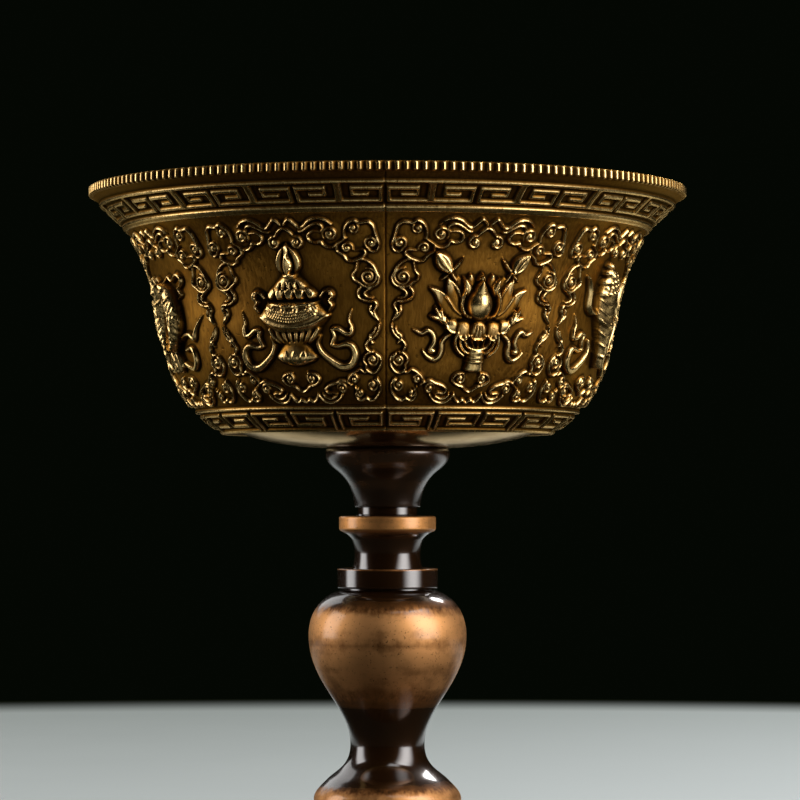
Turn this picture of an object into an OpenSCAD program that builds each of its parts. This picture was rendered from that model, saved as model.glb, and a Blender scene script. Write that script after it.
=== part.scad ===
// Offering cup: a carved brass cup that screws on to a turned stem with a flared foot.
// The axis of the cup is Z and the foot stands on Z = 0. Sizes are in millimetres.

/* [Cup] */
// Height of the cup from its seat on the stem to the top of the rim
cup_h = 41.7; // [40:0.1:46]
// Diameter over the crests of the milled rim
rim_d = 96.2; // [92:0.1:102]
// Height of the milled rim
rim_h = 1.6; // [1.2:0.1:2.2]
// How far the crests of the rim stand out past the jacket
rim_overhang = 0.8; // [0.6:0.1:1.2]
// Diameter of the jacket at its lower edge
jacket_foot_d = 52; // [48:0.5:56]
// Height of the lower edge of the jacket above the seat of the cup
jacket_lift = 2.3; // [2:0.1:3]
// Diameter of the jacket where its side is steepest
jacket_side_d = 73; // [70:0.2:77]
// Height of that place above the seat of the cup
jacket_side_z = 21; // [19:0.1:23]
// Thickness of the jacket behind its carving
jacket_t = 0.9; // [0.7:0.05:1.2]
// Thickness of the inner bowl
bowl_t = 1.2; // [0.9:0.05:1.6]
// Thickness of the floor of the inner bowl
floor_t = 2.2; // [1.8:0.1:2.8]
// Diameter of the flat seat turned under the inner bowl
pad_d = 19; // [16:0.5:24]

/* [Rim teeth] */
// Number of flutes round the rim
teeth = 216; // [160:8:240]
// Depth of one flute
flute_depth = 0.34; // [0.2:0.02:0.4]
// Height of the plain edges over and under the teeth
rim_edge = 0.2; // [0.1:0.05:0.3]
// Radius of the rounded lip
lip_r = 0.5; // [0.3:0.05:0.6]

/* [Carving] */
// Height of the fret lines over the jacket
fret_relief = 0.4; // [0.3:0.05:0.6]
// Number of mirrored keys in the upper fret
upper_keys = 20; // [16:1:24]
// Distance of the upper fret below the top of the rim
upper_fret_drop = 2.6; // [2.4:0.1:3.2]
// Height of one line of the upper fret
upper_line = 0.43; // [0.36:0.01:0.46]
// Height of the plain band under the upper fret
band_h = 1; // [0.8:0.1:1.2]
// Number of mirrored keys in the lower fret
lower_keys = 12; // [10:1:14]
// Height of one line of the lower fret
lower_line = 0.4; // [0.34:0.01:0.42]
// Height of the belly of the vase over the jacket, which the other symbols follow
symbol_relief_h = 1.9; // [1.2:0.1:2.2]
// Height of the cloud heads over the jacket
cloud_relief_h = 0.65; // [0.4:0.05:0.8]

/* [Stem seat] */
// Height of the cup-shaped seat under the bowl
seat_h = 9.6; // [9:0.1:12]
// Diameter of the seat at the top
seat_d = 20.1; // [19:0.1:24]
// Diameter of the seat at the bottom
seat_foot_d = 10.7; // [10:0.1:12]

/* [Ring and neck] */
// Diameter of the bright ring
ring_d = 15.6; // [14:0.1:18]
// Height of the band of the ring
ring_band_h = 2.5; // [2:0.1:3.5]
// Height of the cone under the ring
ring_cone_h = 1.5; // [1.2:0.1:2]
// Diameter of the groove over the ring
groove_d = 9.6; // [9:0.1:10]
// Height of the groove over the ring
groove_h = 1.3; // [0.9:0.1:1.8]
// Height of the neck
neck_h = 4.5; // [4:0.1:7]
// Diameter of the neck at its waist
neck_d = 10.6; // [9.5:0.1:11]
// Diameter of the neck at both ends
neck_end_d = 11.4; // [11.2:0.1:12]

/* [Baluster] */
// Diameter of the collar on top of the baluster
collar_d = 16.2; // [15:0.1:19]
// Height of the collar
collar_h = 3.2; // [2.4:0.1:4]
// Height of the baluster
baluster_h = 35.3; // [34:0.1:40]
// Diameter of the step under the collar
shoulder_d = 14.5; // [13:0.1:15]
// Diameter of the belly
belly_d = 25.4; // [23:0.1:28]
// Height of the belly above the bottom of the baluster
belly_z = 27.8; // [26:0.1:29]
// Diameter of the waist
waist_d = 11.9; // [10.5:0.1:14]
// Height of the waist above the bottom of the baluster
waist_z = 10.3; // [9:0.1:12]
// Diameter of the roll at the bottom of the baluster
roll_d = 23.7; // [21:0.1:26]

/* [Foot] */
// Diameter of the foot where it stands
foot_d = 68; // [60:0.5:78]
// Height of the foot with its collar
foot_h = 24.2; // [22:0.1:30]
// Height of the straight edge of the foot
edge_h = 3.2; // [2.6:0.1:4.5]
// Width of the step above that edge
edge_step = 1.8; // [1.2:0.1:2.5]
// Diameter of the collar on the foot
foot_collar_d = 31.2; // [28:0.1:34]
// Height of that collar
foot_collar_h = 2.7; // [2.2:0.1:3.5]
// Diameter of the foot just under the collar
foot_neck_d = 25.2; // [22:0.1:27]
// Width of the ring that the foot stands on
stand_w = 4.4; // [3.5:0.1:6]
// Height of the hollow under the foot
hollow_h = 7; // [6.6:0.1:9]

/* [Fixing] */
// Diameter of the tie rod
rod_d = 5; // [4:0.1:5.4]
// Pitch of the thread on the tie rod
rod_pitch = 0.8; // [0.7:0.05:1]
// Gap between the rod and the pieces that it passes through
rod_gap = 0.2; // [0.1:0.05:0.3]
// Gap between the rod and the threads that it screws into
thread_gap = 0.05; // [0.02:0.01:0.08]
// Diameter of the boss under the bowl
boss_d = 9; // [8:0.1:9.6]
// Length of the boss
boss_h = 6; // [5:0.1:6.4]
// Gap around the boss in the seat
boss_gap = 0.2; // [0.1:0.05:0.3]
// Depth of the blind end of the thread in the boss
boss_end = 1; // [0.8:0.1:1.5]
// Diameter of the washer on the seat
seat_washer_d = 14.6; // [13:0.1:15.5]
// Thickness of that washer
seat_washer_t = 0.6; // [0.4:0.05:0.9]
// Diameter of the washer under the foot
foot_washer_d = 12; // [10:0.5:15]
// Thickness of that washer
foot_washer_t = 1; // [0.8:0.1:1.4]
// Width across the flats of the nut
nut_af = 8; // [7.5:0.1:9]
// Height of the nut
nut_h = 4; // [3.2:0.1:4.4]
// Film of solder between pieces that are sweated together
solder = 0.05; // [0.03:0.01:0.08]
// Gap behind the carving, whose flat faces have to clear the round jacket
carving_gap = 0.09; // [0.08:0.01:0.12]

/* [Hidden] */
$fn = 96;

ANTIQUE_BRASS = "#8a6f3c";
BRIGHT_BRASS = "#c9a557";
DARK_BRONZE = "#3a2417";
COPPER = "#b0703c";
STEEL = "#9a9a98";
FIBRE = "#5a2a22";

// Heights of the pieces, stacked from the table up
baluster_base = foot_h;
collar_base = baluster_base + baluster_h;
neck_base = collar_base + collar_h;
ring_base = neck_base + neck_h;
ring_h = ring_cone_h + ring_band_h + groove_h;
seat_base = ring_base + ring_h;
cup_base = seat_base + seat_h;
cup_top = cup_base + cup_h;
shell_top = cup_top - rim_h;
jacket_base = cup_base + jacket_lift;
rod_bore = rod_d + 2 * rod_gap;
thread_bore = rod_d + 2 * thread_gap;
edge_r = 0.5;

// One cubic curve as n + 1 points
function curve(a, b, c, d, n = 8) = [
  for (i = [0:n])
    let (t = i / n, s = 1 - t)
      s * s * s * a + 3 * s * s * t * b + 3 * s * t * t * c + t * t * t * d
];
function tail(list) = [for (i = [1:len(list) - 1]) list[i]];
function unit(v) = v / norm(v);

// A quarter round from angle a0 to a1 about a centre
function quarter(c, r, a0, a1, n = 5) = [
  for (i = [0:n])
    let (a = a0 + (a1 - a0) * i / n)
      c + r * [cos(a), sin(a)]
];

// Outer face of the jacket, from its lower edge to the rim, in two curves that meet upright
side = [jacket_side_d / 2, cup_base + jacket_side_z];
side_dir = unit([0.175, 1]);
jacket_low = [jacket_foot_d / 2, jacket_base];
jacket_high = [rim_d / 2 - rim_overhang, shell_top];
low_h = side.y - jacket_low.y;
high_h = jacket_high.y - side.y;
jacket_line = concat(
  curve(
    jacket_low,
    jacket_low + [0.74 * (side.x - jacket_low.x), 0.23 * low_h],
    side - 0.39 * low_h * side_dir,
    side
  ),
  tail(
    curve(
      side,
      side + 0.75 * high_h * side_dir,
      jacket_high - 0.27 * (jacket_high.x - side.x) * [1, 1.02],
      jacket_high
    )
  )
);
jacket_table = [for (p = jacket_line) [p.y, p.x]];
function jacket_r(z) = lookup(z, jacket_table);

// A point at height z on the jacket, moved out by d along the normal of its face
function jacket_out(z, d) =
  [jacket_r(z), z] + d * unit([1, (jacket_r(z - 0.2) - jacket_r(z + 0.2)) / 0.4]);

// The jacket's line moved in by d, with both ends drawn out straight to z0 and z1
function end_at(p, dir, z) = p + (z - p.y) / dir.y * dir;
function inset_line(d, z0, z1) =
  let (
    n = len(jacket_line) - 1,
    dirs = [for (i = [0:n]) unit(jacket_line[min(i + 1, n)] - jacket_line[max(i - 1, 0)])],
    moved = [for (i = [0:n]) jacket_line[i] - d * [dirs[i].y, -dirs[i].x]]
  )
    concat(
      [end_at(moved[0], dirs[0], z0)],
      [for (p = moved) if (p.y > z0 && p.y < z1) p],
      [end_at(moved[n], dirs[n], z1)]
    );

// The skin of the jacket between two heights and two distances from its face
function skin(z0, z1, d0, d1) =
  let (
    between = [for (p = jacket_line) if (p.y > z0 + 0.05 && p.y < z1 - 0.05) p.y],
    zs = concat([z0], between, [z1]),
    n = len(zs) - 1
  )
    concat([for (z = zs) jacket_out(z, d0)], [for (i = [n:-1:0]) jacket_out(zs[i], d1)]);

// One bar of a fret: a patch of the skin between two angles and two heights
module fret_bar(a0, a1, z0, z1) {
  rotate([0, 0, a0])
    rotate_extrude(angle = a1 - a0)
      polygon(skin(z0, z1, solder, solder + fret_relief));
}

// A closed line or band that runs round the jacket
module fret_line(z0, z1) {
  rotate_extrude()
    polygon(skin(z0, z1, solder, solder + fret_relief));
}

// Half of one key, a square spiral of bars, in shares of its width and in lines up or down
module half_key(width, z, line, way, split) {
  w = width / 16;
  rows = function(a, b) way > 0 ? [z + a * line, z + b * line] : [z - b * line, z - a * line];
  main = rows(-5.5, 1);
  first = rows(0, 1);
  outer = rows(-4, 1);
  second = rows(-4, -3);
  short = rows(-4, -1);
  last = rows(-2, -1);
  fret_bar(split * w, (split + 1.2) * w, main[0], main[1]);
  fret_bar(split * w, 15.2 * w, first[0], first[1]);
  fret_bar(14.1 * w, 15.2 * w, outer[0], outer[1]);
  fret_bar(4.2 * w, 15.2 * w, second[0], second[1]);
  fret_bar(4.2 * w, 5.3 * w, short[0], short[1]);
  fret_bar(4.2 * w, 10.6 * w, last[0], last[1]);
}

// One row of mirrored keys, the two halves of a key apart by split shares of its width
module keys(count, z, line, way, split) {
  for (i = [0:count - 1])
    rotate([0, 0, (i + 0.5) * 360 / count - 90])
      for (m = [0, 1])
        mirror([0, m, 0])
          half_key(180 / count, z, line, way, split);
}

// A turned piece with a hole along its axis
module turned(outline, bore, z0, z1) {
  difference() {
    rotate_extrude()
      polygon(outline);
    translate([0, 0, z0 - 1])
      cylinder(d = bore, h = z1 - z0 + 2);
  }
}

// Outline of the milled band: a flat crest and a hollow flute for each tooth
function tooth_r(step) = rim_d / 2 - flute_depth * [0, 0, 0.75, 1, 0.75][step];
milled = [
  for (i = [0:teeth - 1], step = [0:4])
    let (a = (i + step / 5) * 360 / teeth)
      tooth_r(step) * [cos(a), sin(a)]
];

// Milled ring that closes the mouth over both shells
module rim_ring() {
  root = rim_d / 2 - flute_depth - 0.1;
  wall = inset_line(jacket_t + solder + bowl_t, jacket_base, shell_top);
  inner = wall[len(wall) - 1].x;
  color(BRIGHT_BRASS)
    union() {
      rotate_extrude()
        polygon(
          concat(
            [[inner, shell_top], [rim_d / 2 - rim_overhang, shell_top], [root, shell_top + rim_edge]],
            quarter([root - lip_r, cup_top - lip_r], lip_r, 0, 90),
            quarter([inner + 2 * lip_r, cup_top - lip_r], lip_r, 90, 150)
          )
        );
      translate([0, 0, shell_top + rim_edge])
        linear_extrude(rim_h - 2 * rim_edge)
          difference() {
            polygon(milled);
            circle(root - 0.4);
          }
    }
}

// Fret under the rim, with its border line above and its plain band below
upper_top = cup_top - upper_fret_drop;
upper_bottom = upper_top - 8 * upper_line;
module upper_fret() {
  color(ANTIQUE_BRASS)
    union() {
      fret_line(upper_top - upper_line, upper_top);
      keys(upper_keys, upper_bottom + 2 * upper_line, upper_line, -1, 0);
      fret_line(upper_bottom - band_h, upper_bottom);
    }
}

// Fret at the foot of the jacket, hung the other way up
lower_bottom = jacket_base + 0.1;
lower_top = lower_bottom + 9 * lower_line;
module lower_fret() {
  color(ANTIQUE_BRASS)
    union() {
      fret_line(lower_bottom, lower_bottom + lower_line);
      keys(lower_keys, lower_bottom + 6 * lower_line, lower_line, 1, 0.6);
      fret_line(lower_top - lower_line, lower_top);
    }
}

// The eight carved panels between the frets, drawn flat on a sheet with its origin at the foot
panels = 8;
sheet = [29, 28.3];
panel_low = lower_top;
panel_high = upper_bottom - band_h;

// A point of the drawing of panel i, laid on the jacket and raised by d
function on_panel(i, p, d) =
  let (
    q = jacket_out(panel_low + p.y / sheet.y * (panel_high - panel_low), carving_gap + d),
    a = 360 / panels * (i + 0.5 + p.x / sheet.x) - 90
  )
    [q.x * cos(a), q.x * sin(a), q.y];

// Two triangles, a ring of them between two rings of n points, and a fan of them round one point
function quad(a, b, c, d) = [[a, b, c], [a, c, d]];
function strip(low, high, n) = [
  for (k = [0:n - 1])
    let (m = (k + 1) % n)
      each quad(high + k, high + m, low + m, low + k)
];
function fan(ring, point, n, way) = [
  for (k = [0:n - 1])
    let (m = (k + 1) % n)
      way > 0 ? [point, ring + m, ring + k] : [ring + k, ring + m, point]
];

// Closed shell of a boss: rings that rise from its edge to its crown, and its back on the jacket
boss_rise = [[1, 0], [0.74, 0.67], [0.4, 0.92]];
function boss(i, c, half, h, turn, n = 12) =
  let (
    ring = function(share, d) [
      for (k = [0:n - 1])
        let (v = share * [half.x * cos(360 * k / n), half.y * sin(360 * k / n)])
          on_panel(i, c + [v.x * cos(turn) - v.y * sin(turn), v.x * sin(turn) + v.y * cos(turn)], d)
    ]
  )
    [
      concat(
        [for (r = boss_rise) each ring(r[0], r[1] * h)],
        ring(0.5, 0),
        [on_panel(i, c, h), on_panel(i, c, 0)]
      ),
      concat(
        strip(0, n, n),
        strip(n, 2 * n, n),
        fan(2 * n, 4 * n, n, 1),
        strip(3 * n, 0, n),
        fan(3 * n, 4 * n + 1, n, -1)
      )
    ];

// Closed shell of a small boss, with one ring between its edge and its crown
function knob(i, c, half, h, turn, n = 8) =
  let (
    ring = function(share, d) [
      for (k = [0:n - 1])
        let (v = share * [half.x * cos(360 * k / n), half.y * sin(360 * k / n)])
          on_panel(i, c + [v.x * cos(turn) - v.y * sin(turn), v.x * sin(turn) + v.y * cos(turn)], d)
    ]
  )
    [
      concat(ring(1, 0), ring(0.62, 0.8 * h), [on_panel(i, c, h), on_panel(i, c, 0)]),
      concat(strip(0, n, n), fan(n, 2 * n, n, 1), fan(0, 2 * n + 1, n, -1))
    ];

// Closed shell of a leaf or a scarf: a roof along a path that tapers to a point at both ends
function roof(i, path, w, h) =
  let (
    last = len(path) - 1,
    across = function(k) let (d = unit(path[k + 1] - path[k - 1])) w / 2 * [-d.y, d.x],
    n = last - 1,
    end = 3 * n
  )
    [
      concat(
        [
          for (k = [1:n])
            each [
              on_panel(i, path[k] + across(k), 0),
              on_panel(i, path[k] - across(k), 0),
              on_panel(i, path[k], h)
            ]
        ],
        [on_panel(i, path[0], 0), on_panel(i, path[last], 0)]
      ),
      concat(
        [[0, 2, end], [2, 1, end], [end, 1, 0]],
        [
          for (k = [0:1:n - 2])
            let (a = 3 * k, b = a + 3)
              each concat(quad(b, b + 2, a + 2, a), quad(b + 2, b + 1, a + 1, a + 2), quad(a, a + 1, b + 1, b))
        ],
        [[end + 1, end - 1, end - 3], [end + 1, end - 2, end - 1], [end - 3, end - 2, end + 1]]
      )
    ];

// Every form of one panel, and its twin on the other side of the middle where it has one
function mirrored(p) = [-p.x, p.y];
function bosses(i, list) = [
  for (b = list)
    each [
      boss(i, b[0], b[1], b[2] * symbol_relief_h, b[3]),
      if (b[4] == 2) boss(i, mirrored(b[0]), b[1], b[2] * symbol_relief_h, -b[3])
    ]
];
function knobs(i, list, h) = [
  for (b = list)
    each [
      knob(i, b[0], b[1], b[2] * h, b[3]),
      if (b[4] == 2) knob(i, mirrored(b[0]), b[1], b[2] * h, -b[3])
    ]
];
function roofs(i, list, h) = [
  for (r = list)
    each [
      roof(i, r[0], r[1], r[2] * h),
      if (r[3] == 2) roof(i, [for (p = r[0]) mirrored(p)], r[1], r[2] * h)
    ]
];

// Closed shells that don't touch each other, as one solid shape
module shells(list) {
  starts = [for (i = 0, n = 0; i < len(list); n = n + len(list[i][0]), i = i + 1) n];
  polyhedron(
    points = [for (s = list) each s[0]],
    faces = [for (i = [0:len(list) - 1], f = list[i][1]) [for (k = f) k + starts[i]]]
  );
}

// Scarves on both sides of most symbols
scarves = [
  [
    [
      [4.1, 10], [3.85, 9.2], [4.3, 8], [5.7, 6.8], [7.4, 5.9], [9, 6.2], [9.7, 7.5], [9.3, 8.8],
      [8.3, 9.2], [6.8, 8.9]
    ],
    1.1, 0.5, 2
  ],
  [
    [[6.4, 10.2], [6.2, 11.3], [7.1, 11.5], [8.2, 10.8], [9.1, 10.8], [9.25, 11.8], [8.9, 12.8], [9.35, 14.4]],
    0.8, 0.42, 2
  ]
];

// Lotus: bud, calyx, gathered stalk and collar, with petals, buds and scarves
lotus_bosses = [
  [[0, 15.8], [1.55, 2.8], 0.97, 0, 1],
  [[0, 11.55], [1.45, 1.05], 0.84, 0, 1],
  [[0, 9.2], [2.9, 1.15], 0.6, 0, 1],
  [[0, 6.8], [1.6, 1.05], 0.7, 0, 1]
];
lotus_knobs = [
  [[2.6, 11.6], [1.1, 0.95], 0.72, -40, 2],
  [[4.65, 12.1], [0.85, 0.65], 0.7, 10, 2]
];
lotus_roofs = [
  [[[1.9, 13.1], [2.9, 14.5], [3, 16.1], [2.6, 17.5], [2.85, 19.2]], 1.1, 0.75, 2],
  [[[3.6, 13.8], [4.4, 15.6], [4.7, 17.1], [5.2, 19]], 1, 0.65, 2],
  [[[4.3, 13.4], [5.4, 14.6], [6.4, 16.1], [8, 17.7]], 1, 0.58, 2],
  [[[5.6, 12.3], [6.5, 13.1], [7.5, 14.4]], 0.9, 0.55, 2],
  [[[4.9, 20.1], [5.9, 21.3], [7.2, 22.9]], 2.2, 0.66, 2],
  [[[4.4, 10.5], [5.4, 10.1], [5.75, 9.1], [5.8, 8.1], [6.6, 7.1], [7.6, 7.2], [8.6, 8.1]], 0.9, 0.47, 2],
  [[[7.4, 8.7], [6.9, 9.7], [7.3, 10.8], [8.1, 11.2], [9, 10.8], [10.3, 11.3]], 0.75, 0.42, 2]
];

// Conch: body, whorls and point, with ties that flutter above
conch_bosses = [
  [[0.2, 13.3], [3.5, 5.1], 1, 6, 1],
  [[-1.5, 19.85], [2.4, 1], 1.05, 10, 1],
  [[-2.3, 22.1], [1.4, 0.9], 0.85, 12, 1]
];
conch_roofs = [[[[4.8, 15.4], [6.2, 16.5], [6.7, 18.5], [8, 20.4]], 1.3, 0.42, 2]];

// Endless knot: its nine crossings and the bends at its four sides, standing on one corner
knot_step = 3.1;
knot_centre = [0, 15.1];
function knot_at(u, v) = knot_centre + knot_step * sqrt(0.5) * [u - v, u + v];
knot_knobs = concat(
  [for (u = [-1:1], v = [-1:1]) [knot_at(u, v), [1.3, 1.3], 0.55, 45, 1]],
  [
    for (side = [-1, 1], v = [-0.5, 0.5])
      each [
        [knot_at(1.8 * side, v), [0.72, 1.45], 0.48, 45, 1],
        [knot_at(v, 1.8 * side), [1.45, 0.72], 0.48, 45, 1]
      ]
  ],
  [[[0, 22.9], [0.8, 1.1], 0.55, 0, 1], [[0, 6.6], [1.8, 1.3], 0.58, 0, 1]]
);

// Banner of victory: finial, canopy, three hung tiers and staff, with streamers
banner_bosses = [
  [[0, 22.75], [1, 1.15], 0.65, 0, 1],
  [[0, 20.1], [4.4, 1.3], 0.79, 0, 1],
  [[0, 17.3], [4, 1.25], 0.7, 0, 1],
  [[0, 14.5], [3.6, 1.25], 0.7, 0, 1],
  [[0, 11.7], [3.2, 1.25], 0.7, 0, 1],
  [[0, 7.9], [0.7, 2.25], 0.55, 0, 1]
];
banner_roofs = [[[[4.9, 19.3], [5.8, 18.1], [5.5, 16.6], [6.5, 15.2], [6, 13.7], [6.9, 12.5]], 0.8, 0.42, 2]];

// Wheel: hub, spokes, eight arcs of its rim, points outside the rim and a lotus base
wheel_centre = [0, 15.5];
wheel_r = 5.2;
function wheel_at(r, a) = wheel_centre + r * [cos(a), sin(a)];
wheel_knobs = [[wheel_centre, [1.35, 1.35], 0.65, 0, 1]];
wheel_bosses = [[[0, 6.5], [2.9, 1.2], 0.58, 0, 1]];
wheel_roofs = [
  for (a = [0:45:315])
    each [
      [[wheel_at(1.6, a), wheel_at(2.8, a), wheel_at(4.3, a)], 0.9, 0.55, 1],
      [[wheel_at(6, a), wheel_at(6.6, a), wheel_at(7.6, a)], 1.1, 0.6, 1],
      [[for (t = [-20:10:20]) wheel_at(wheel_r, a + t)], 1.4, 0.68, 1]
    ]
];

// Parasol: finial, canopy, two frills and staff, with fluttering bands
parasol_bosses = [
  [[0, 23.6], [0.6, 0.85], 0.6, 0, 1],
  [[0, 20.9], [6, 1.75], 0.9, 0, 1],
  [[0, 18], [5.4, 0.95], 0.68, 0, 1],
  [[0, 16], [4.2, 0.85], 0.63, 0, 1],
  [[0, 10.3], [0.75, 4.6], 0.6, 0, 1]
];
parasol_roofs = [[[[6.3, 18.5], [7.2, 17.7], [6.6, 16.1], [7.7, 14.7], [7.1, 13.5], [7.9, 12.6]], 0.8, 0.42, 2]];

// Pair of fish: bodies, back fins, tails and barbels, with a loop and a ribbon on each side
fish_roofs = [
  [[[0.9, 19.7], [1.9, 17.7], [2.7, 15.2], [2.7, 13], [2.2, 11], [1.2, 9.2]], 2.9, 1, 2],
  [[[4.2, 16.7], [4.9, 15.2], [5, 13.6], [4.3, 11.6]], 0.9, 0.53, 2],
  [[[1, 8.8], [1.6, 7.5], [1.2, 6.1]], 1.7, 0.58, 2],
  [
    [
      [1.6, 20.2], [2.6, 20.7], [3.8, 20.1], [5.2, 20.8], [6.5, 20.2], [6.2, 19.2], [5.2, 18.5],
      [5.7, 17.7]
    ],
    0.65, 0.42, 2
  ],
  [[[3, 7.4], [4.2, 6.6], [5.4, 6.3], [6.6, 7.2], [6.65, 8.7], [5.8, 9.4], [4.2, 9.1]], 1, 0.5, 2],
  [[[4.2, 10.5], [5, 11.2], [6.2, 11.3], [7.4, 10.7], [8, 11.7], [8.9, 12.8], [10.6, 14.2]], 0.8, 0.44, 2]
];

// Treasure vase: jewel, lid, belly, fluted skirt and foot, with handles
vase_bosses = [
  [[0, 21.75], [1.5, 2], 0.8, 0, 1],
  [[0, 17.8], [4.2, 1.7], 0.85, 0, 1],
  [[0, 13.55], [5.9, 2.3], 1, 0, 1],
  [[0, 10.35], [3.9, 0.8], 0.75, 0, 1],
  [[0, 7.8], [3.4, 1.6], 0.68, 0, 1]
];
vase_roofs = [[[[5, 16.8], [5.9, 17.3], [6.7, 16.9], [6.6, 16.1], [6.2, 15.5], [6.6, 14.8]], 0.7, 0.55, 2]];

// The eight lucky symbols, cast with the jacket
module symbol_relief() {
  h = symbol_relief_h;
  color(ANTIQUE_BRASS)
    shells(
      concat(
        bosses(0, lotus_bosses), knobs(0, lotus_knobs, h), roofs(0, lotus_roofs, h),
        bosses(1, conch_bosses), roofs(1, concat(conch_roofs, scarves), h),
        knobs(2, knot_knobs, h), roofs(2, scarves, h),
        bosses(3, banner_bosses), roofs(3, concat(banner_roofs, scarves), h),
        bosses(4, wheel_bosses), knobs(4, wheel_knobs, h), roofs(4, concat(wheel_roofs, scarves), h),
        bosses(5, parasol_bosses), roofs(5, concat(parasol_roofs, scarves), h),
        roofs(6, fish_roofs, h),
        bosses(7, vase_bosses), roofs(7, concat(vase_roofs, scarves), h)
      )
    );
}

// Heads and scrolls of the clouds that frame every panel, half of them drawn
cloud_heads = [
  [[1.8, 24.7], [1, 1], 1, 0, 2],
  [[6.6, 25.5], [1.5, 1.3], 1, 0, 2],
  [[10.2, 26.2], [1.15, 1], 1, 0, 2],
  [[12.5, 24.3], [1.15, 1.2], 1, 0, 2],
  [[9, 23.2], [1.25, 1.1], 1, 0, 2],
  [[12, 19.4], [1.6, 1.6], 1, 0, 2],
  [[12.4, 6.8], [1.2, 1.3], 1, 0, 2],
  [[12.3, 3], [1.2, 1.1], 1, 0, 2],
  [[9.3, 4.2], [1, 0.9], 1, 0, 2],
  [[6.9, 2.7], [1.2, 0.95], 1, 0, 2],
  [[1.9, 4], [1.3, 0.8], 1, 0, 2]
];
cloud_scrolls = [
  [[[2.3, 26.8], [3.6, 27.2], [5.1, 27.6], [6.9, 27.2]], 0.6, 0.95, 2],
  [[[10.9, 17.4], [10.6, 16.3], [11.8, 15.7], [13, 15.1], [12.9, 13.8], [13.4, 12.7]], 0.6, 0.95, 2],
  [[[13.4, 12.1], [13.2, 11], [12.3, 10], [11.6, 9], [11.9, 8.4]], 0.6, 0.95, 2],
  [[[10.6, 1.9], [9.8, 1.2], [8.6, 1.2], [7.6, 1.4]], 0.6, 0.95, 2]
];
module cloud_relief() {
  h = cloud_relief_h;
  color(ANTIQUE_BRASS)
    shells([for (i = [0:panels - 1]) each concat(knobs(i, cloud_heads, h), roofs(i, cloud_scrolls, h))]);
}

// Cast jacket that carries the carving
module relief_jacket() {
  inner = inset_line(jacket_t, jacket_base - 1, shell_top + 1);
  color(ANTIQUE_BRASS)
    difference() {
      rotate_extrude()
        polygon(concat([[0, jacket_base]], jacket_line, [[0, shell_top]]));
      rotate_extrude()
        polygon(concat([[0, jacket_base - 1]], inner, [[0, shell_top + 1]]));
    }
}

// Plain inner bowl, with its polished underside open below the jacket
module inner_bowl() {
  outer = inset_line(jacket_t + solder, jacket_base, shell_top);
  inner = inset_line(jacket_t + solder + bowl_t, jacket_base + 1, shell_top + 1);
  floor_z = cup_base + floor_t;
  start = outer[0];
  inside = [for (p = inner) if (p.y > floor_z + 1.8) p];
  well = curve([0, floor_z], [12, floor_z], [inside[0].x - 3, floor_z + 0.2], inside[0]);
  dish = curve(
    [pad_d / 2, cup_base],
    [pad_d / 2 + 7, cup_base],
    start - [2.6, 1.25],
    start
  );
  color(BRIGHT_BRASS)
    difference() {
      rotate_extrude()
        polygon(concat([[0, cup_base]], dish, tail(outer), [[0, shell_top]]));
      rotate_extrude()
        polygon(concat(well, tail(inside), [[0, shell_top + 1]]));
    }
}

// Tapped boss brazed under the bowl
module bowl_boss() {
  color(BRIGHT_BRASS)
    difference() {
      translate([0, 0, cup_base - boss_h])
        cylinder(d = boss_d, h = boss_h);
      translate([0, 0, cup_base - boss_h - 1])
        cylinder(d = thread_bore, h = boss_h + 1 - boss_end / 2);
    }
}

// Fibre washer let into the top of the seat
module seat_washer() {
  color(FIBRE)
    translate([0, 0, cup_base - seat_washer_t])
      difference() {
        cylinder(d = seat_washer_d, h = seat_washer_t);
        translate([0, 0, -1])
          cylinder(d = boss_d + 2 * boss_gap, h = seat_washer_t + 2);
      }
}

// Cup-shaped seat at the top of the stem
module seat_cup() {
  r = seat_d / 2;
  lip = 0.75;
  low = [seat_foot_d / 2, seat_base];
  top = cup_base;
  turn = [low.x + 0.5 * (r - low.x), seat_base + 0.58 * seat_h];
  flare = concat(
    curve(
      low + [0, 0.3],
      low + [0.15, 0.28 * seat_h],
      turn - [1.3, 0.12 * seat_h],
      turn
    ),
    tail(
      curve(
        turn,
        turn + [1, 0.092 * seat_h],
        [r - 0.1, top - 0.26 * seat_h],
        [r, top - 1.2 * lip]
      )
    )
  );
  color(DARK_BRONZE)
    difference() {
      turned(
        concat(
          [[0, seat_base], [low.x - 0.3, seat_base]],
          flare,
          quarter([r - lip, top - lip], lip, 0, 90),
          [[0, top]]
        ),
        rod_bore, seat_base, top
      );
      translate([0, 0, top - boss_h - boss_gap])
        cylinder(d = boss_d + 2 * boss_gap, h = boss_h + 1);
      translate([0, 0, top - seat_washer_t])
        cylinder(d = seat_washer_d + 2 * boss_gap, h = 2);
    }
}

// Bright ring, with the groove above it and a cone below it
module copper_ring() {
  r = ring_d / 2;
  band = ring_base + ring_cone_h;
  band_top = band + ring_band_h;
  cone = curve(
    [neck_end_d / 2, ring_base],
    [neck_end_d / 2 + 0.1, ring_base + 0.4 * ring_cone_h],
    [r - 1, band - 0.2 * ring_cone_h],
    [r - 0.3, band],
    5
  );
  color(COPPER)
    turned(
      concat(
        [[0, ring_base]],
        cone,
        quarter([r - edge_r, band + edge_r], edge_r, -60, 0, 3),
        quarter([r - edge_r, band_top - edge_r], edge_r, 0, 90),
        [[groove_d / 2, band_top], [groove_d / 2, seat_base], [0, seat_base]]
      ),
      rod_bore, ring_base, seat_base
    );
}

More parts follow.
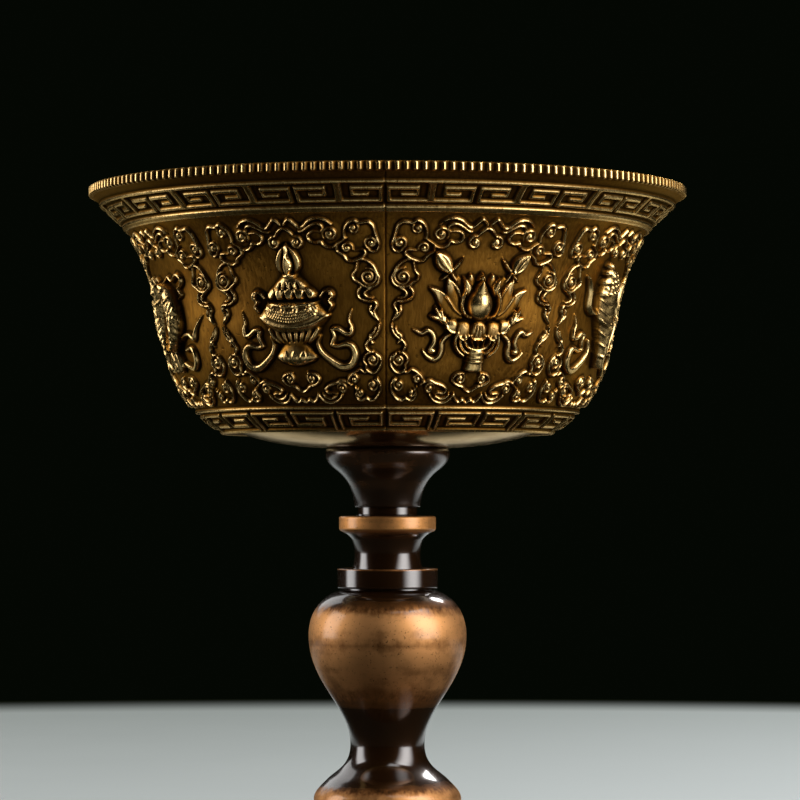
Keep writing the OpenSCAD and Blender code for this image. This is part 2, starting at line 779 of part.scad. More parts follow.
// Spool that makes the neck
module neck_spool() {
  end = neck_end_d / 2;
  waist = 4 / 3 * neck_d / 2 - end / 3;
  color(DARK_BRONZE)
    turned(
      concat(
        [[0, neck_base]],
        curve(
          [end, neck_base],
          [waist, neck_base + neck_h / 3],
          [waist, neck_base + 2 * neck_h / 3],
          [end, ring_base]
        ),
        [[0, ring_base]]
      ),
      rod_bore, neck_base, ring_base
    );
}

// Straight-sided collar on the baluster
module collar_disc() {
  r = collar_d / 2;
  chamfer = 0.3;
  color(DARK_BRONZE)
    turned(
      concat(
        [[0, collar_base], [shoulder_d / 2, collar_base]],
        quarter([r - chamfer, collar_base + chamfer], chamfer, -80, 0, 4),
        quarter([r - 0.2, neck_base - 0.2], 0.2, 0, 90, 3),
        [[0, neck_base]]
      ),
      rod_bore, collar_base, neck_base
    );
}

// Vase-shaped baluster, drawn in at the waist and rolled out at the bottom
module baluster() {
  z = baluster_base;
  belly = [belly_d / 2, z + belly_z];
  waist = [waist_d / 2, z + waist_z];
  roll = [roll_d / 2, z + 1.4];
  top = [shoulder_d / 2, collar_base - 0.2];
  rise = top.y - belly.y;
  drop = belly.y - waist.y;
  swell = waist.y - roll.y;
  turn_r = (waist.x + roll.x) / 2 + 0.7;
  turn_z = waist.y - 0.62 * swell;
  color(DARK_BRONZE)
    turned(
      concat(
        [[0, z], [roll.x - 0.5, z]],
        curve(
          roll,
          roll + [0, 0.15 * swell],
          [turn_r + 1.4, turn_z - 0.16 * swell],
          [turn_r, turn_z],
          6
        ),
        tail(
          curve(
            [turn_r, turn_z],
            [turn_r - 1.4, turn_z + 0.15 * swell],
            waist - [0, 0.38 * swell],
            waist,
            6
          )
        ),
        tail(curve(waist, waist + [0, 0.34 * drop], belly - [0, 0.44 * drop], belly, 12)),
        tail(
          curve(
            belly,
            belly + [0, 0.5 * rise],
            top + [0.62 * (belly.x - top.x), -0.1 * rise],
            top,
            8
          )
        ),
        [[top.x, collar_base], [0, collar_base]]
      ),
      rod_bore, z, collar_base
    );
}

// Flared foot, hollow below for the nut
module foot() {
  r = foot_d / 2;
  neck = [foot_neck_d / 2, foot_h - foot_collar_h - 0.6];
  step = [r - edge_step, edge_h + 0.4];
  span = step.x - neck.x;
  rise = neck.y - step.y;
  crest = step + [-0.28 * span, 0.31 * rise];
  collar_r = foot_collar_d / 2;
  collar_low = foot_h - foot_collar_h;
  inner = r - stand_w;
  color(DARK_BRONZE)
    difference() {
      turned(
        concat(
          [[0, 0]],
          [[r - edge_r, 0], [r, edge_r]],
          quarter([r - 1, edge_h - 1], 1, 0, 90),
          [[step.x, edge_h], step],
          tail(
            curve(step, step + [0, 0.16 * rise], crest + [0.16 * span, -0.08 * rise], crest, 6)
          ),
          tail(
            curve(crest, crest - [0.34 * span, -0.13 * rise], neck - [-0.03 * span, 0.5 * rise], neck, 10)
          ),
          [[neck.x, collar_low]],
          quarter([collar_r - 0.8, collar_low + 0.8], 0.8, -90, 0),
          quarter([collar_r - edge_r, foot_h - edge_r], edge_r, 0, 90),
          [[0, foot_h]]
        ),
        rod_bore, 0, foot_h
      );
      rotate_extrude()
        polygon(
          concat(
            [[0, -1], [inner, -1], [inner, 0.4 * edge_h]],
            curve(
              [inner, 0.4 * edge_h],
              [inner - 1, edge_h],
              [0.75 * inner, 0.9 * hollow_h],
              [0.45 * inner, hollow_h],
              6
            ),
            [[0, hollow_h]]
          )
        );
    }
}

// Rod that ties the foot, the stem and the bowl together
rod_low = hollow_h - foot_washer_t - nut_h - rod_pitch;
rod_high = cup_base - boss_end;
module tie_rod() {
  color(STEEL)
    union() {
      translate([0, 0, rod_low + rod_pitch])
        cylinder(d = rod_d, h = rod_high - rod_low - 2 * rod_pitch);
      translate([0, 0, rod_low])
        cylinder(d1 = rod_d - rod_pitch, d2 = rod_d, h = rod_pitch);
      translate([0, 0, rod_high - rod_pitch])
        cylinder(d1 = rod_d, d2 = rod_d - rod_pitch, h = rod_pitch);
    }
}

// Plain washer under the foot
module foot_washer() {
  color(STEEL)
    translate([0, 0, hollow_h - foot_washer_t])
      difference() {
        cylinder(d = foot_washer_d, h = foot_washer_t);
        translate([0, 0, -1])
          cylinder(d = rod_bore, h = foot_washer_t + 2);
      }
}

// Hexagon nut with both ends turned off
module foot_nut() {
  over = nut_af / cos(30);
  z = hollow_h - foot_washer_t - nut_h;
  color(STEEL)
    difference() {
      intersection() {
        translate([0, 0, z])
          cylinder(d = over, h = nut_h, $fn = 6);
        rotate_extrude()
          polygon([
            [0, z],
            [nut_af / 2, z],
            [over / 2 + 0.01, z + 0.12 * nut_h],
            [over / 2 + 0.01, z + 0.88 * nut_h],
            [nut_af / 2, z + nut_h],
            [0, z + nut_h]
          ]);
      }
      translate([0, 0, z - 1])
        cylinder(d = thread_bore, h = nut_h + 2);
    }
}

rim_ring();
upper_fret();
lower_fret();
symbol_relief();
cloud_relief();
relief_jacket();
inner_bowl();
bowl_boss();
seat_washer();
seat_cup();
copper_ring();
neck_spool();
collar_disc();
baluster();
foot();
tie_rod();
foot_washer();
foot_nut();
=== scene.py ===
"""Offering cup: a carved brass bowl on a turned, lacquered stem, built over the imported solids."""

import logging
import math
from collections.abc import Sequence
from dataclasses import dataclass, field
from enum import Enum
from typing import ClassVar

import bpy
import numpy as np
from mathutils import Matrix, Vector


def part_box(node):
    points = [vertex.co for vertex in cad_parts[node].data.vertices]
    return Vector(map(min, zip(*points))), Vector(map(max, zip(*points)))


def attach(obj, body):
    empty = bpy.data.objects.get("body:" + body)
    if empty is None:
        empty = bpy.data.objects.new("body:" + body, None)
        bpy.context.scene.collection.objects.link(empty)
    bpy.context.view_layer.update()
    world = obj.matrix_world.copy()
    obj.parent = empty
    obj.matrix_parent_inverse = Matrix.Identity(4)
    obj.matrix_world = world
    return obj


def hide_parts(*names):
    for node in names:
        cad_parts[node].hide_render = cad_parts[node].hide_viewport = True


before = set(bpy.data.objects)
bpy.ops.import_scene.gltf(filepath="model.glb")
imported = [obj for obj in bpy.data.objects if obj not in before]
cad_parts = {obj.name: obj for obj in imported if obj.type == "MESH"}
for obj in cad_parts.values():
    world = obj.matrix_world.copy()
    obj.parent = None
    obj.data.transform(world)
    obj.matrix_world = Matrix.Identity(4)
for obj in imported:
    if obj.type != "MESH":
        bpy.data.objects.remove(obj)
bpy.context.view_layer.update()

LOG = logging.getLogger("offering_cup")

MM = 0.001
WELD = 0.001 * MM
FULL_TURN = 2 * math.pi

Point = tuple[float, float]
Outline = list[Point]
Grid = np.ndarray
Piece = bpy.types.Object
Skin = bpy.types.Material
Node = bpy.types.Node
Socket = bpy.types.NodeSocket
Colour = tuple[float, float, float]
Area = tuple[slice, slice]
Inputs = dict[str | int, object]
Bar = tuple[float, float, float, float]


class Body(str, Enum):
    """Bodies of the frame that the pieces ride on."""

    STEM = "stem"
    BOWL = "bowl"


class Slot(str, Enum):
    """Material slots."""

    ANTIQUE_BRASS = "antique_brass"
    POLISHED_BRASS = "polished_brass"
    DARK_BRONZE = "dark_bronze"
    BRIGHT_COPPER = "bright_copper"


class Lay(Enum):
    """How a carved form meets what is already carved there."""

    MERGE = "the higher of the two"
    ON_TOP = "stands on it"
    CUT_IN = "is cut into it"


class Mask(str, Enum):
    """Point attributes that the finishes read."""

    RIDGE = "ridge"
    # Darkening in the hollows: dark patina, and painted shade beside the raised forms and between the rim's
    # teeth.
    PATINA_AND_SHADE = "hollow"
    RUB = "rub"


@dataclass(frozen=True)
class NodeBox:
    """Lowest and greatest height and greatest radius of one solid of the frame, in millimetres."""

    low: float
    high: float
    radius: float

    @classmethod
    def of(cls, node: str) -> "NodeBox":
        """Measures a node of the frame."""
        low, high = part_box(node)
        return cls(low.z / MM, high.z / MM, max(high.x, high.y) / MM)


def bezier(a: Point, b: Point, c: Point, d: Point, steps: int = 16) -> Outline:
    """One cubic curve as points.

    Args:
        a: First end.
        b: Handle of the first end.
        c: Handle of the last end.
        d: Last end.
        steps: Number of steps along the curve.

    Returns:
        The points, both ends included.
    """
    t = np.linspace(0, 1, steps + 1)[:, None]
    s = 1 - t
    a, b, c, d = (np.array(p, float) for p in (a, b, c, d))
    line = s**3 * a + 3 * s * s * t * b + 3 * s * t * t * c + t**3 * d
    return [tuple(p) for p in line]


def arc(centre: Point, radius: float, start: float, end: float, steps: int = 8) -> Outline:
    """A round stretch of an outline, from one angle in degrees to another, both ends included."""
    angles = np.radians(np.linspace(start, end, steps + 1))
    return [(centre[0] + radius * math.cos(a), centre[1] + radius * math.sin(a)) for a in angles]


def smooth_path(points: Sequence[Point], steps: int) -> np.ndarray:
    """A smooth line through given points.

    Args:
        points: The points, in order.
        steps: Number of steps between two points.

    Returns:
        The line as an array of points.
    """
    knots = np.array(points, float)
    if len(knots) < 3:
        return np.linspace(knots[0], knots[-1], steps + 1)
    padded = np.vstack([2 * knots[0] - knots[1], knots, 2 * knots[-1] - knots[-2]])
    line = [knots[:1]]
    t = np.linspace(0, 1, steps + 1)[1:, None]
    for p0, p1, p2, p3 in zip(padded, padded[1:], padded[2:], padded[3:]):
        bend = (2 * p0 - 5 * p1 + 4 * p2 - p3) * t**2
        turn = (3 * p1 - p0 - 3 * p2 + p3) * t**3
        line.append(0.5 * (2 * p1 + (p2 - p0) * t + bend + turn))
    return np.vstack(line)


def unit(v: Sequence[float]) -> np.ndarray:
    """A vector drawn to the length of one."""
    return np.array(v, float) / np.linalg.norm(v)


def blurred(grid: Grid, rows: float, columns: float) -> Grid:
    """A grid softened by a bell curve.

    Args:
        grid: The grid.
        rows: Spread along the columns, in rows.
        columns: Spread along the rows, in columns.

    Returns:
        The softened grid.
    """
    for axis, spread in enumerate((rows, columns)):
        reach = max(1, math.ceil(3 * spread))
        weights = np.exp(-0.5 * (np.arange(-reach, reach + 1) / spread) ** 2)
        weights /= weights.sum()
        pad = [(0, 0), (0, 0)]
        pad[axis] = (reach, reach)
        wide = np.pad(grid, pad, mode="edge")
        count = grid.shape[axis]
        grid = sum(w * np.take(wide, range(i, i + count), axis) for i, w in enumerate(weights))
    return grid


def deselect() -> None:
    """Clears the selection, so that an operator acts on new pieces alone."""
    bpy.ops.object.select_all(action="DESELECT")


def set_mask(piece: Piece, mask: Mask, values: np.ndarray) -> None:
    """Writes one point attribute, with a value for each point of the piece."""
    layer = piece.data.attributes.new(mask.value, "FLOAT", "POINT")
    layer.data.foreach_set("value", np.ascontiguousarray(values, np.float32).ravel())


def smooth_shade(piece: Piece, angle: float = 40) -> None:
    """Shades a piece smooth.

    Args:
        piece: The piece.
        angle: Angle over which an edge stays crisp, in degrees.
    """
    deselect()
    piece.select_set(True)
    bpy.context.view_layer.objects.active = piece
    bpy.ops.object.shade_smooth_by_angle(angle=math.radians(angle))


def lathe(name: str, outline: Outline, steps: int) -> Piece:
    """Turns a closed outline round the axis of the cup.

    Args:
        name: Name of the piece.
        outline: Radius and height of each point of the outline, in millimetres.
        steps: Number of steps round the axis.

    Returns:
        The turned piece.
    """
    deselect()
    bpy.ops.mesh.primitive_circle_add(vertices=len(outline), radius=MM)
    piece = bpy.context.object
    piece.name = piece.data.name = name
    flat = [c * MM for r, z in outline for c in (r, 0, z)]
    piece.data.vertices.foreach_set("co", flat)
    bpy.ops.object.mode_set(mode="EDIT")
    bpy.ops.mesh.select_all(action="SELECT")
    bpy.ops.mesh.spin(
        steps=steps, angle=FULL_TURN, center=(0, 0, 0), axis=(0, 0, 1), use_auto_merge=True
    )
    bpy.ops.mesh.select_all(action="SELECT")
    bpy.ops.mesh.remove_doubles(threshold=WELD)
    bpy.ops.mesh.dissolve_degenerate(threshold=WELD)
    bpy.ops.mesh.select_all(action="SELECT")
    bpy.ops.mesh.normals_make_consistent(inside=False)
    bpy.ops.object.mode_set(mode="OBJECT")
    smooth_shade(piece)
    return piece


def fold_sheet(name: str, sheet: np.ndarray, masks: dict[Mask, Grid], sharp: float = 60) -> Piece:
    """Lays a grid round a carved wall and closes it.

    The rows of the sheet run up the front of the wall, over its top, down its back and to the first row
    again. The open ends of the wall, where it is not a full ring, are filled.

    Args:
        name: Name of the piece.
        sheet: Rows and columns of points, in metres.
        masks: Attributes, each with a value for every point of the sheet.
        sharp: Angle over which an edge stays crisp, in degrees.

    Returns:
        The closed piece.
    """
    rows, columns = sheet.shape[:2]
    deselect()
    bpy.ops.mesh.primitive_grid_add(x_subdivisions=columns - 1, y_subdivisions=rows - 1, size=MM)
    piece = bpy.context.object
    piece.name = piece.data.name = name
    piece.data.vertices.foreach_set("co", np.ascontiguousarray(sheet, np.float32).ravel())
    for mask, values in masks.items():
        set_mask(piece, mask, values)
    bpy.ops.object.mode_set(mode="EDIT")
    bpy.ops.mesh.select_all(action="SELECT")
    bpy.ops.mesh.remove_doubles(threshold=WELD)
    bpy.ops.mesh.select_all(action="SELECT")
    bpy.ops.mesh.fill_holes(sides=0)
    bpy.ops.object.mode_set(mode="OBJECT")
    smooth_shade(piece, sharp)
    return piece


def finish_piece(piece: Piece, body: Body, nodes: Sequence[str], skin: Skin) -> None:
    """Gives a piece its body and its finish, and hides the solids that it stands for.

    Args:
        piece: The piece.
        body: Body that it rides on.
        nodes: Solids that it stands for.
        skin: Its material.
    """
    piece.data.materials.clear()
    piece.data.materials.append(skin)
    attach(piece, body.value)
    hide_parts(*nodes)
    LOG.info("%s: %d faces, on %s", piece.name, len(piece.data.polygons), body.value)


@dataclass(frozen=True)
class JacketLine:
    """Outer line of the cast jacket, in millimetres, in two curves that meet upright.

    Attributes:
        low: Lower edge.
        side: Place where the side is steepest.
        high: Upper edge, under the rim.
        lean: Share by which the side leans out there.
    """

    low: Point
    side: Point
    high: Point
    lean: float = 0.175

    STEPS = 60

    @classmethod
    def of_frame(cls) -> "JacketLine":
        """The line of the jacket in the frame."""
        jacket = NodeBox.of("relief_jacket")
        return cls((26.0, jacket.low), (36.5, jacket.low + 18.7), (jacket.radius, jacket.high))

    def points(self) -> np.ndarray:
        """Points along the line.

        Returns:
            Radius and height of each point, from the lower edge up.
        """
        low, side, high = (np.array(p) for p in (self.low, self.side, self.high))
        up = unit((self.lean, 1))
        low_h = side[1] - low[1]
        high_h = high[1] - side[1]
        flare = high[0] - side[0]
        swell = np.array((0.74 * (side[0] - low[0]), 0.23 * low_h))
        turn_out = 0.27 * flare * np.array((1, 1.02))
        lower = bezier(low, low + swell, side - 0.39 * low_h * up, side, self.STEPS)
        upper = bezier(side, side + 0.75 * high_h * up, high - turn_out, high, self.STEPS)
        return np.array(lower + upper[1:])

    def radius(self, z: Grid) -> Grid:
        """Radius of the face at the given heights."""
        line = self.points()
        return np.interp(z, line[:, 1], line[:, 0])

    def face(self, z: Grid, out: Grid | float) -> tuple[Grid, Grid]:
        """Points that stand out from the face along its normal.

        Args:
            z: Heights on the face.
            out: How far each point stands out, less than nothing for a point inside.

        Returns:
            Radius and height of each point.
        """
        step = 0.1
        slope = (self.radius(z + step) - self.radius(z - step)) / (2 * step)
        length = np.sqrt(1 + slope**2)
        return self.radius(z) + out / length, z - out * slope / length

    def even_heights(self, z0: float, z1: float, count: int) -> np.ndarray:
        """Heights that are evenly spaced along the face.

        Args:
            z0: First height.
            z1: Last height.
            count: Number of heights.

        Returns:
            The heights.
        """
        z = np.linspace(z0, z1, 400)
        length = np.concatenate([[0], np.cumsum(np.hypot(np.diff(z), np.diff(self.radius(z))))])
        return np.interp(np.linspace(0, length[-1], count), length, z)


@dataclass
class Relief:
    """Carving over one panel, on a grid of points of the jacket, in millimetres.

    Attributes:
        x: Distance of each point from the middle line of the panel.
        z: Height of each point.
        h: How far the carving stands out at each point.
    """

    x: Grid
    z: Grid
    h: Grid = field(init=False)

    CUT_BELOW = 0.08
    STROKE_CROWN = 0.62
    GROOVE_SHARE = 0.34
    CURL_SHARE = 0.78
    EYE_SHARE = 0.42
    LEAF_FULLNESS = 0.8
    LEAF_EDGE = 0.18
    RIB_WIDTH = 0.14
    TINY = 1e-4

    def __post_init__(self) -> None:
        """Starts with a plain face."""
        self.h = np.zeros_like(self.x)

    def window(self, points: np.ndarray, reach: float) -> Area | None:
        """Rows and columns of the grid round some points.

        Args:
            points: The points.
            reach: How far the window goes past them.

        Returns:
            The rows and columns, or nothing where they miss the grid.
        """
        low = points.min(axis=0) - reach
        high = points.max(axis=0) + reach
        rows = np.flatnonzero((self.z[:, 0] >= low[1]) & (self.z[:, 0] <= high[1]))
        if not len(rows):
            return None
        span = self.x[rows[0] : rows[-1] + 1]
        columns = np.flatnonzero((span.max(axis=0) >= low[0]) & (span.min(axis=0) <= high[0]))
        if not len(columns):
            return None
        return slice(rows[0], rows[-1] + 1), slice(columns[0], columns[-1] + 1)

    def lay(self, area: Area, form: Grid, how: Lay) -> None:
        """Adds one form to the carving.

        Args:
            area: Rows and columns that it covers.
            form: Its height there.
            how: How it meets what is there.
        """
        there = self.h[area]
        if how is Lay.MERGE:
            self.h[area] = np.maximum(there, form)
        elif how is Lay.ON_TOP:
            self.h[area] = there + form
        else:
            self.h[area] = there - np.minimum(form, np.maximum(there, 0) + self.CUT_BELOW)

    def along(self, line: np.ndarray, reach: float) -> tuple[Area, Grid, Grid] | None:
        """Place of the grid's points beside a line.

        Args:
            line: Points of the line.
            reach: How far from the line to look.

        Returns:
            The window, the distance of each point from each stretch of the line and its share of that
            stretch, or nothing where the line misses the grid.
        """
        area = self.window(line, reach)
        if area is None:
            return None
        start = line[:-1]
        run = np.diff(line, axis=0)
        squared = np.maximum((run**2).sum(axis=1), 1e-9)
        dx = self.x[area][..., None] - start[:, 0]
        dz = self.z[area][..., None] - start[:, 1]
        share = np.clip((dx * run[:, 0] + dz * run[:, 1]) / squared, 0, 1)
        distance = np.hypot(dx - share * run[:, 0], dz - share * run[:, 1])
        return area, distance, share

    @staticmethod
    def twins(points: Sequence[Point], twin: bool) -> list[np.ndarray]:
        """The points, and where a form has a twin, their mirror image."""
        line = np.array(points, float)
        return [line, line * (-1, 1)] if twin else [line]

    def stroke(
        self, path: Sequence[Point], width: float, height: float, taper: Point = (1.0, 1.0),
        how: Lay = Lay.MERGE, twin: bool = False, groove: float = 0.0, steps: int = 7,
    ) -> None:
        """Carves a raised line.

        Args:
            path: Points that it runs through.
            width: Half of its width.
            height: Its height.
            taper: Share of the width at its two ends.
            how: How it meets what is there.
            twin: Whether it has a mirror image.
            groove: Share of the height that a groove along its middle takes away.
            steps: Steps between two points, or none for a path that is smooth already.
        """
        for points in self.twins(path, twin):
            line = smooth_path(points, steps) if steps else points
            beside = self.along(line, width)
            if beside is None:
                continue
            area, distance, share = beside
            ends = np.linspace(0, 1, len(line))
            shape = np.interp(ends, (0, 0.4, 0.6, 1), (taper[0], 1, 1, taper[1]))
            half = width * (shape[:-1] + share * np.diff(shape))
            rise = height * np.sqrt(shape[:-1] + share * np.diff(shape))
            q = np.minimum(distance / half, 1)
            sunk = groove * np.exp(-((q / self.GROOVE_SHARE) ** 2))
            form = rise * (1 - q**2) ** self.STROKE_CROWN * (1 - sunk)
            self.lay(area, form.max(axis=-1), how)

    def curl(
        self, centre: Point, radius: float, start: float, turns: float, width: float, height: float
    ) -> None:
        """Carves a scroll with a bead in its middle, and its mirror image.

        Args:
            centre: Its centre.
            radius: Its radius.
            start: Angle of its open end, in degrees.
            turns: Number of turns inwards, less than nothing for turns to the right.
            width: Half of the width of its line.
            height: Height of its line.
        """
        t = np.linspace(0, 1, 30)
        angle = math.radians(start) + FULL_TURN * turns * t
        r = radius * (1 - self.CURL_SHARE * t)
        eye = self.EYE_SHARE * radius
        path = np.column_stack([centre[0] + r * np.cos(angle), centre[1] + r * np.sin(angle)])
        self.stroke(path, width, height, (0.8, 0.7), twin=True, steps=0)
        self.dome(centre, (eye, eye), 1.15 * height, twin=True)

    def dome(
        self, centre: Point, size: Point, height: float, turn: float = 0.0, how: Lay = Lay.MERGE,
        twin: bool = False, slope: float = 0.5,
    ) -> None:
        """Carves a rounded boss.

        Args:
            centre: Its centre.
            size: Its half width and half height.
            height: How far it stands out.
            turn: Angle that it is turned by, in degrees.
            how: How it meets what is there.
            twin: Whether it has a mirror image.
            slope: How softly it falls off, a half for a round boss.
        """
        for sign in (1, -1) if twin else (1,):
            middle = np.array([[sign * centre[0], centre[1]]])
            area = self.window(middle, max(size))
            if area is None:
                continue
            a = math.radians(sign * turn)
            dx = self.x[area] - middle[0, 0]
            dz = self.z[area] - middle[0, 1]
            u = (dx * math.cos(a) + dz * math.sin(a)) / size[0]
            v = (dz * math.cos(a) - dx * math.sin(a)) / size[1]
            form = height * np.maximum(1 - u**2 - v**2, 0) ** slope
            self.lay(area, form, how)

    def leaf(
        self, spine: Sequence[Point], width: float, height: float, belly: float = 0.45, rim: float = 0.0,
        rib: float = 0.0, how: Lay = Lay.MERGE, twin: bool = False,
    ) -> None:
        """Carves a pointed leaf or petal.

        Args:
            spine: Points from its base to its tip.
            width: Half of its greatest width.
            height: Its height.
            belly: Share of its length at which it is widest.
            rim: Share of the height that its middle is sunk below its edges.
            rib: Height of a rib along its spine.
            how: How it meets what is there.
            twin: Whether it has a mirror image.
        """
        for points in self.twins(spine, twin):
            line = smooth_path(points, 8)
            beside = self.along(line, width)
            if beside is None:
                continue
            area, distance, share = beside
            nearest = distance.argmin(axis=-1)[..., None]
            near = np.take_along_axis(distance, nearest, -1)[..., 0]
            along = (nearest + np.take_along_axis(share, nearest, -1))[..., 0] / (len(line) - 1)
            fullness = np.sin(math.pi * along ** (math.log(0.5) / math.log(belly))) ** self.LEAF_FULLNESS
            q = near / np.maximum(width * fullness, self.TINY)
            inside = q < 1
            edge = np.minimum(q, 1)
            wall = np.clip((1 - edge) / self.LEAF_EDGE, 0, 1)
            form = (1 - edge**2) ** 0.5 * (1 - rim) + rim * edge**2 * wall
            form = form * height + rib * np.exp(-((near / self.RIB_WIDTH) ** 2)) * inside
            self.lay(area, np.where(inside, form, 0), how)

    def turned(self, profile: Sequence[Point], depth: float) -> None:
        """Carves a round body on the middle line, seen from the side.

        Args:
            profile: Height and half width, from the top down.
            depth: How far the widest place stands out.
        """
        z, half = np.array(sorted(profile)).T
        ends = np.array([[-half.max(), z[0]], [half.max(), z[-1]]])
        area = self.window(ends, 0.1)
        if area is None:
            return
        width = np.interp(self.z[area], z, half, left=0, right=0)
        q = np.abs(self.x[area]) / np.maximum(width, self.TINY)
        form = depth * (0.45 + 0.55 * width / half.max()) * np.sqrt(np.maximum(1 - q**2, 0))
        self.lay(area, form, Lay.MERGE)

    def beads(self, path: Sequence[Point], count: int, radius: float, height: float) -> None:
        """Carves a string of beads on what is there.

        Args:
            path: Points that it runs through.
            count: Number of beads.
            radius: Radius of one bead.
            height: Height of one bead.
        """
        line = smooth_path(path, 12)
        length = np.concatenate([[0], np.cumsum(np.hypot(*np.diff(line, axis=0).T))])
        for at in np.linspace(0, length[-1], count):
            centre = (np.interp(at, length, line[:, 0]), np.interp(at, length, line[:, 1]))
            self.dome(centre, (radius, radius), height, how=Lay.ON_TOP)

    def ring(self, centre: Point, radius: float, width: float, height: float, how: Lay = Lay.MERGE) -> None:
        """Carves a ring of a round line."""
        path = np.array(arc(centre, radius, 0, 360, 48))
        self.stroke(path, width, height, how=how, steps=0)


class Motif(Relief):
    """Carving of one motif over a panel."""

    name = "motif"

    def carve(self) -> None:
        """Carves the whole motif."""
        raise NotImplementedError


class CloudBorder(Motif):
    """Frame of scrolling clouds that every panel has, the right half mirrored to the left."""

    LINE = 0.25
    HEIGHT = 0.66
    PILLOW = 0.26

    CURLS = (
        (1.68, 112.55, 1, 105, -1.35), (6.75, 113.7, 1.1, 215, -1.6), (10.1, 114.5, 0.75, 38, -1.2),
        (12.5, 112.4, 0.95, 250, -1.45), (9.05, 111.65, 0.85, -20, 1.3), (12, 107.3, 1.35, 100, -1.9),
        (12.45, 94.95, 0.95, 60, -1.5), (12.35, 91.3, 0.9, 60, -1.45), (10.1, 90.2, 0.65, 120, 1.2),
        (9.3, 92.2, 0.8, 200, -1.3), (7.15, 90.85, 0.85, 180, -1.4), (1.95, 92.3, 0.75, 120, 1.25),
    )
    LINES = (
        ((0, 114.7), (0.5, 114.5), (1, 114.05), (1.35, 113.6)),
        ((0.25, 115.2), (0.8, 115.8), (1.2, 115.95), (1.7, 115.45), (2.4, 114.8), (3.1, 114.95),
         (4, 115.7), (5.1, 116.05), (6.2, 115.8), (7.1, 115.1)),
        ((2.3, 114.15), (3, 114.3), (3.8, 114.85), (4.7, 115.25), (5.5, 115.15), (5.85, 114.6),
         (5.5, 114.1)),
        ((5.5, 114.1), (4.9, 114.2), (4.2, 114.15), (3.65, 113.75), (3.5, 113.15), (3.9, 112.65),
         (4.7, 112.5), (5.35, 112.65), (5.6, 112.15), (6.3, 111.75), (7.1, 111.8), (7.8, 112.3),
         (8.5, 112.75), (9, 113.1)),
        ((8.75, 113), (8.75, 113.8), (8.95, 114.6), (9.45, 115.3), (10.2, 115.65), (10.9, 115.3),
         (11.6, 115.4), (12.25, 115.4), (12.8, 114.85), (13.05, 114), (13.3, 113.1), (13.6, 112.2),
         (13.4, 111.35), (12.8, 111.05), (12.1, 111.3)),
        ((7.6, 112), (7.55, 111.2), (8.1, 110.8), (8.6, 110.4), (8.9, 109.85), (9.6, 109.65),
         (10.3, 109.85), (11.1, 110.2), (11.65, 110.7), (11.5, 111.3), (10.8, 111.35), (10.1, 111.25)),
        ((10.5, 109.9), (11.5, 109.85), (12.4, 109.3), (12.95, 108.6), (13.25, 107.9), (13.6, 107.2),
         (13.4, 106.4), (12.8, 105.95), (12, 105.8), (11.2, 106), (10.5, 106.5), (9.85, 106.9),
         (9.65, 107.6), (10.15, 108.2), (10.35, 109), (10.5, 109.7)),
        ((10.9, 105.8), (10.4, 105.1), (10.5, 104.3), (11.3, 103.8), (12.2, 103.65), (12.95, 103.6),
         (13.2, 102.9), (12.8, 102.2), (13, 101.5), (13.45, 100.8)),
        ((12.4, 105.6), (11.7, 105.3), (11.35, 104.75), (11.8, 104.3), (12.6, 104.15)),
        ((12.3, 103), (12.2, 102.3), (12.5, 101.7), (13, 101.1)),
        ((13.6, 100.3), (13.5, 99.5), (13.1, 98.7), (12.5, 98.2), (11.8, 97.7), (11.4, 97), (11.7, 96.4),
         (12.3, 96.1)),
        ((13, 99.7), (12.7, 99), (12.1, 98.5), (12.2, 97.9), (12.6, 97.4)),
        ((12.5, 96.15), (11.8, 96), (11.2, 95.5), (11, 94.8), (11.4, 94.3), (11.4, 93.6), (12.1, 93.1),
         (12.9, 93.2), (13.5, 93.8), (13.8, 94.6), (13.6, 95.4), (12.9, 95.95)),
        ((13.1, 92.2), (13.6, 91.4), (13.6, 90.5), (13.1, 89.7), (12.5, 89.2), (11.7, 89.1), (11.1, 89.4),
         (10.4, 89.1), (9.7, 89.2), (9.3, 89.8), (9.6, 90.5), (9.3, 91)),
        ((11.7, 93.3), (11, 93.15), (10.4, 93.55), (9.7, 93.35), (9, 92.9), (8.4, 92.3), (8.1, 91.6)),
        ((8.8, 91.3), (8, 91.75), (7.1, 92), (6.3, 91.65), (5.4, 91.4), (4.6, 91.1), (4.1, 90.6),
         (4.6, 90.15), (5.5, 90.2), (6.1, 90)),
        ((7, 89.9), (6.4, 89.3), (5.6, 88.9), (4.6, 88.75), (3.7, 88.95), (3.1, 89.4), (2.6, 90)),
        ((5.9, 89.7), (5, 89.35), (4.1, 89.5), (3.5, 89.95)),
        ((0, 90.35), (0.7, 90.6), (1.3, 91.1), (2.2, 91.3), (3, 91.7), (3.35, 92.2), (2.9, 92.8),
         (2.1, 93.05), (1.4, 93.1)),
        ((0, 88.75), (0.8, 89.15), (1.5, 88.85), (2.2, 89.3), (2.6, 89.9)),
    )
    PILLOWS = (
        (1.7, 112.6, 1.3, 1.2), (4.9, 113.7, 1.8, 1.5), (6.9, 113.6, 1.9, 1.9), (10.9, 113.4, 2.7, 2.6),
        (9.3, 111.2, 1.9, 1.6), (11.9, 107.6, 2.1, 2.2), (12.3, 94.8, 1.6, 1.8), (11.5, 90.8, 2.4, 1.9),
        (9.2, 92.3, 1.3, 1.2), (6.6, 90.8, 2.2, 1.3), (1.9, 92.2, 1.4, 1),
    )

    def carve(self) -> None:
        """Carves the whole frame; see Motif."""
        for x, z, wide, tall in self.PILLOWS:
            self.dome((x, z), (wide, tall), self.PILLOW, twin=True, slope=1.3)
        for path in self.LINES:
            self.stroke(path, self.LINE, self.HEIGHT, (0.8, 0.7), twin=True, steps=5)
        for x, z, radius, start, turns in self.CURLS:
            self.curl((x, z), radius, start, turns, self.LINE, self.HEIGHT)


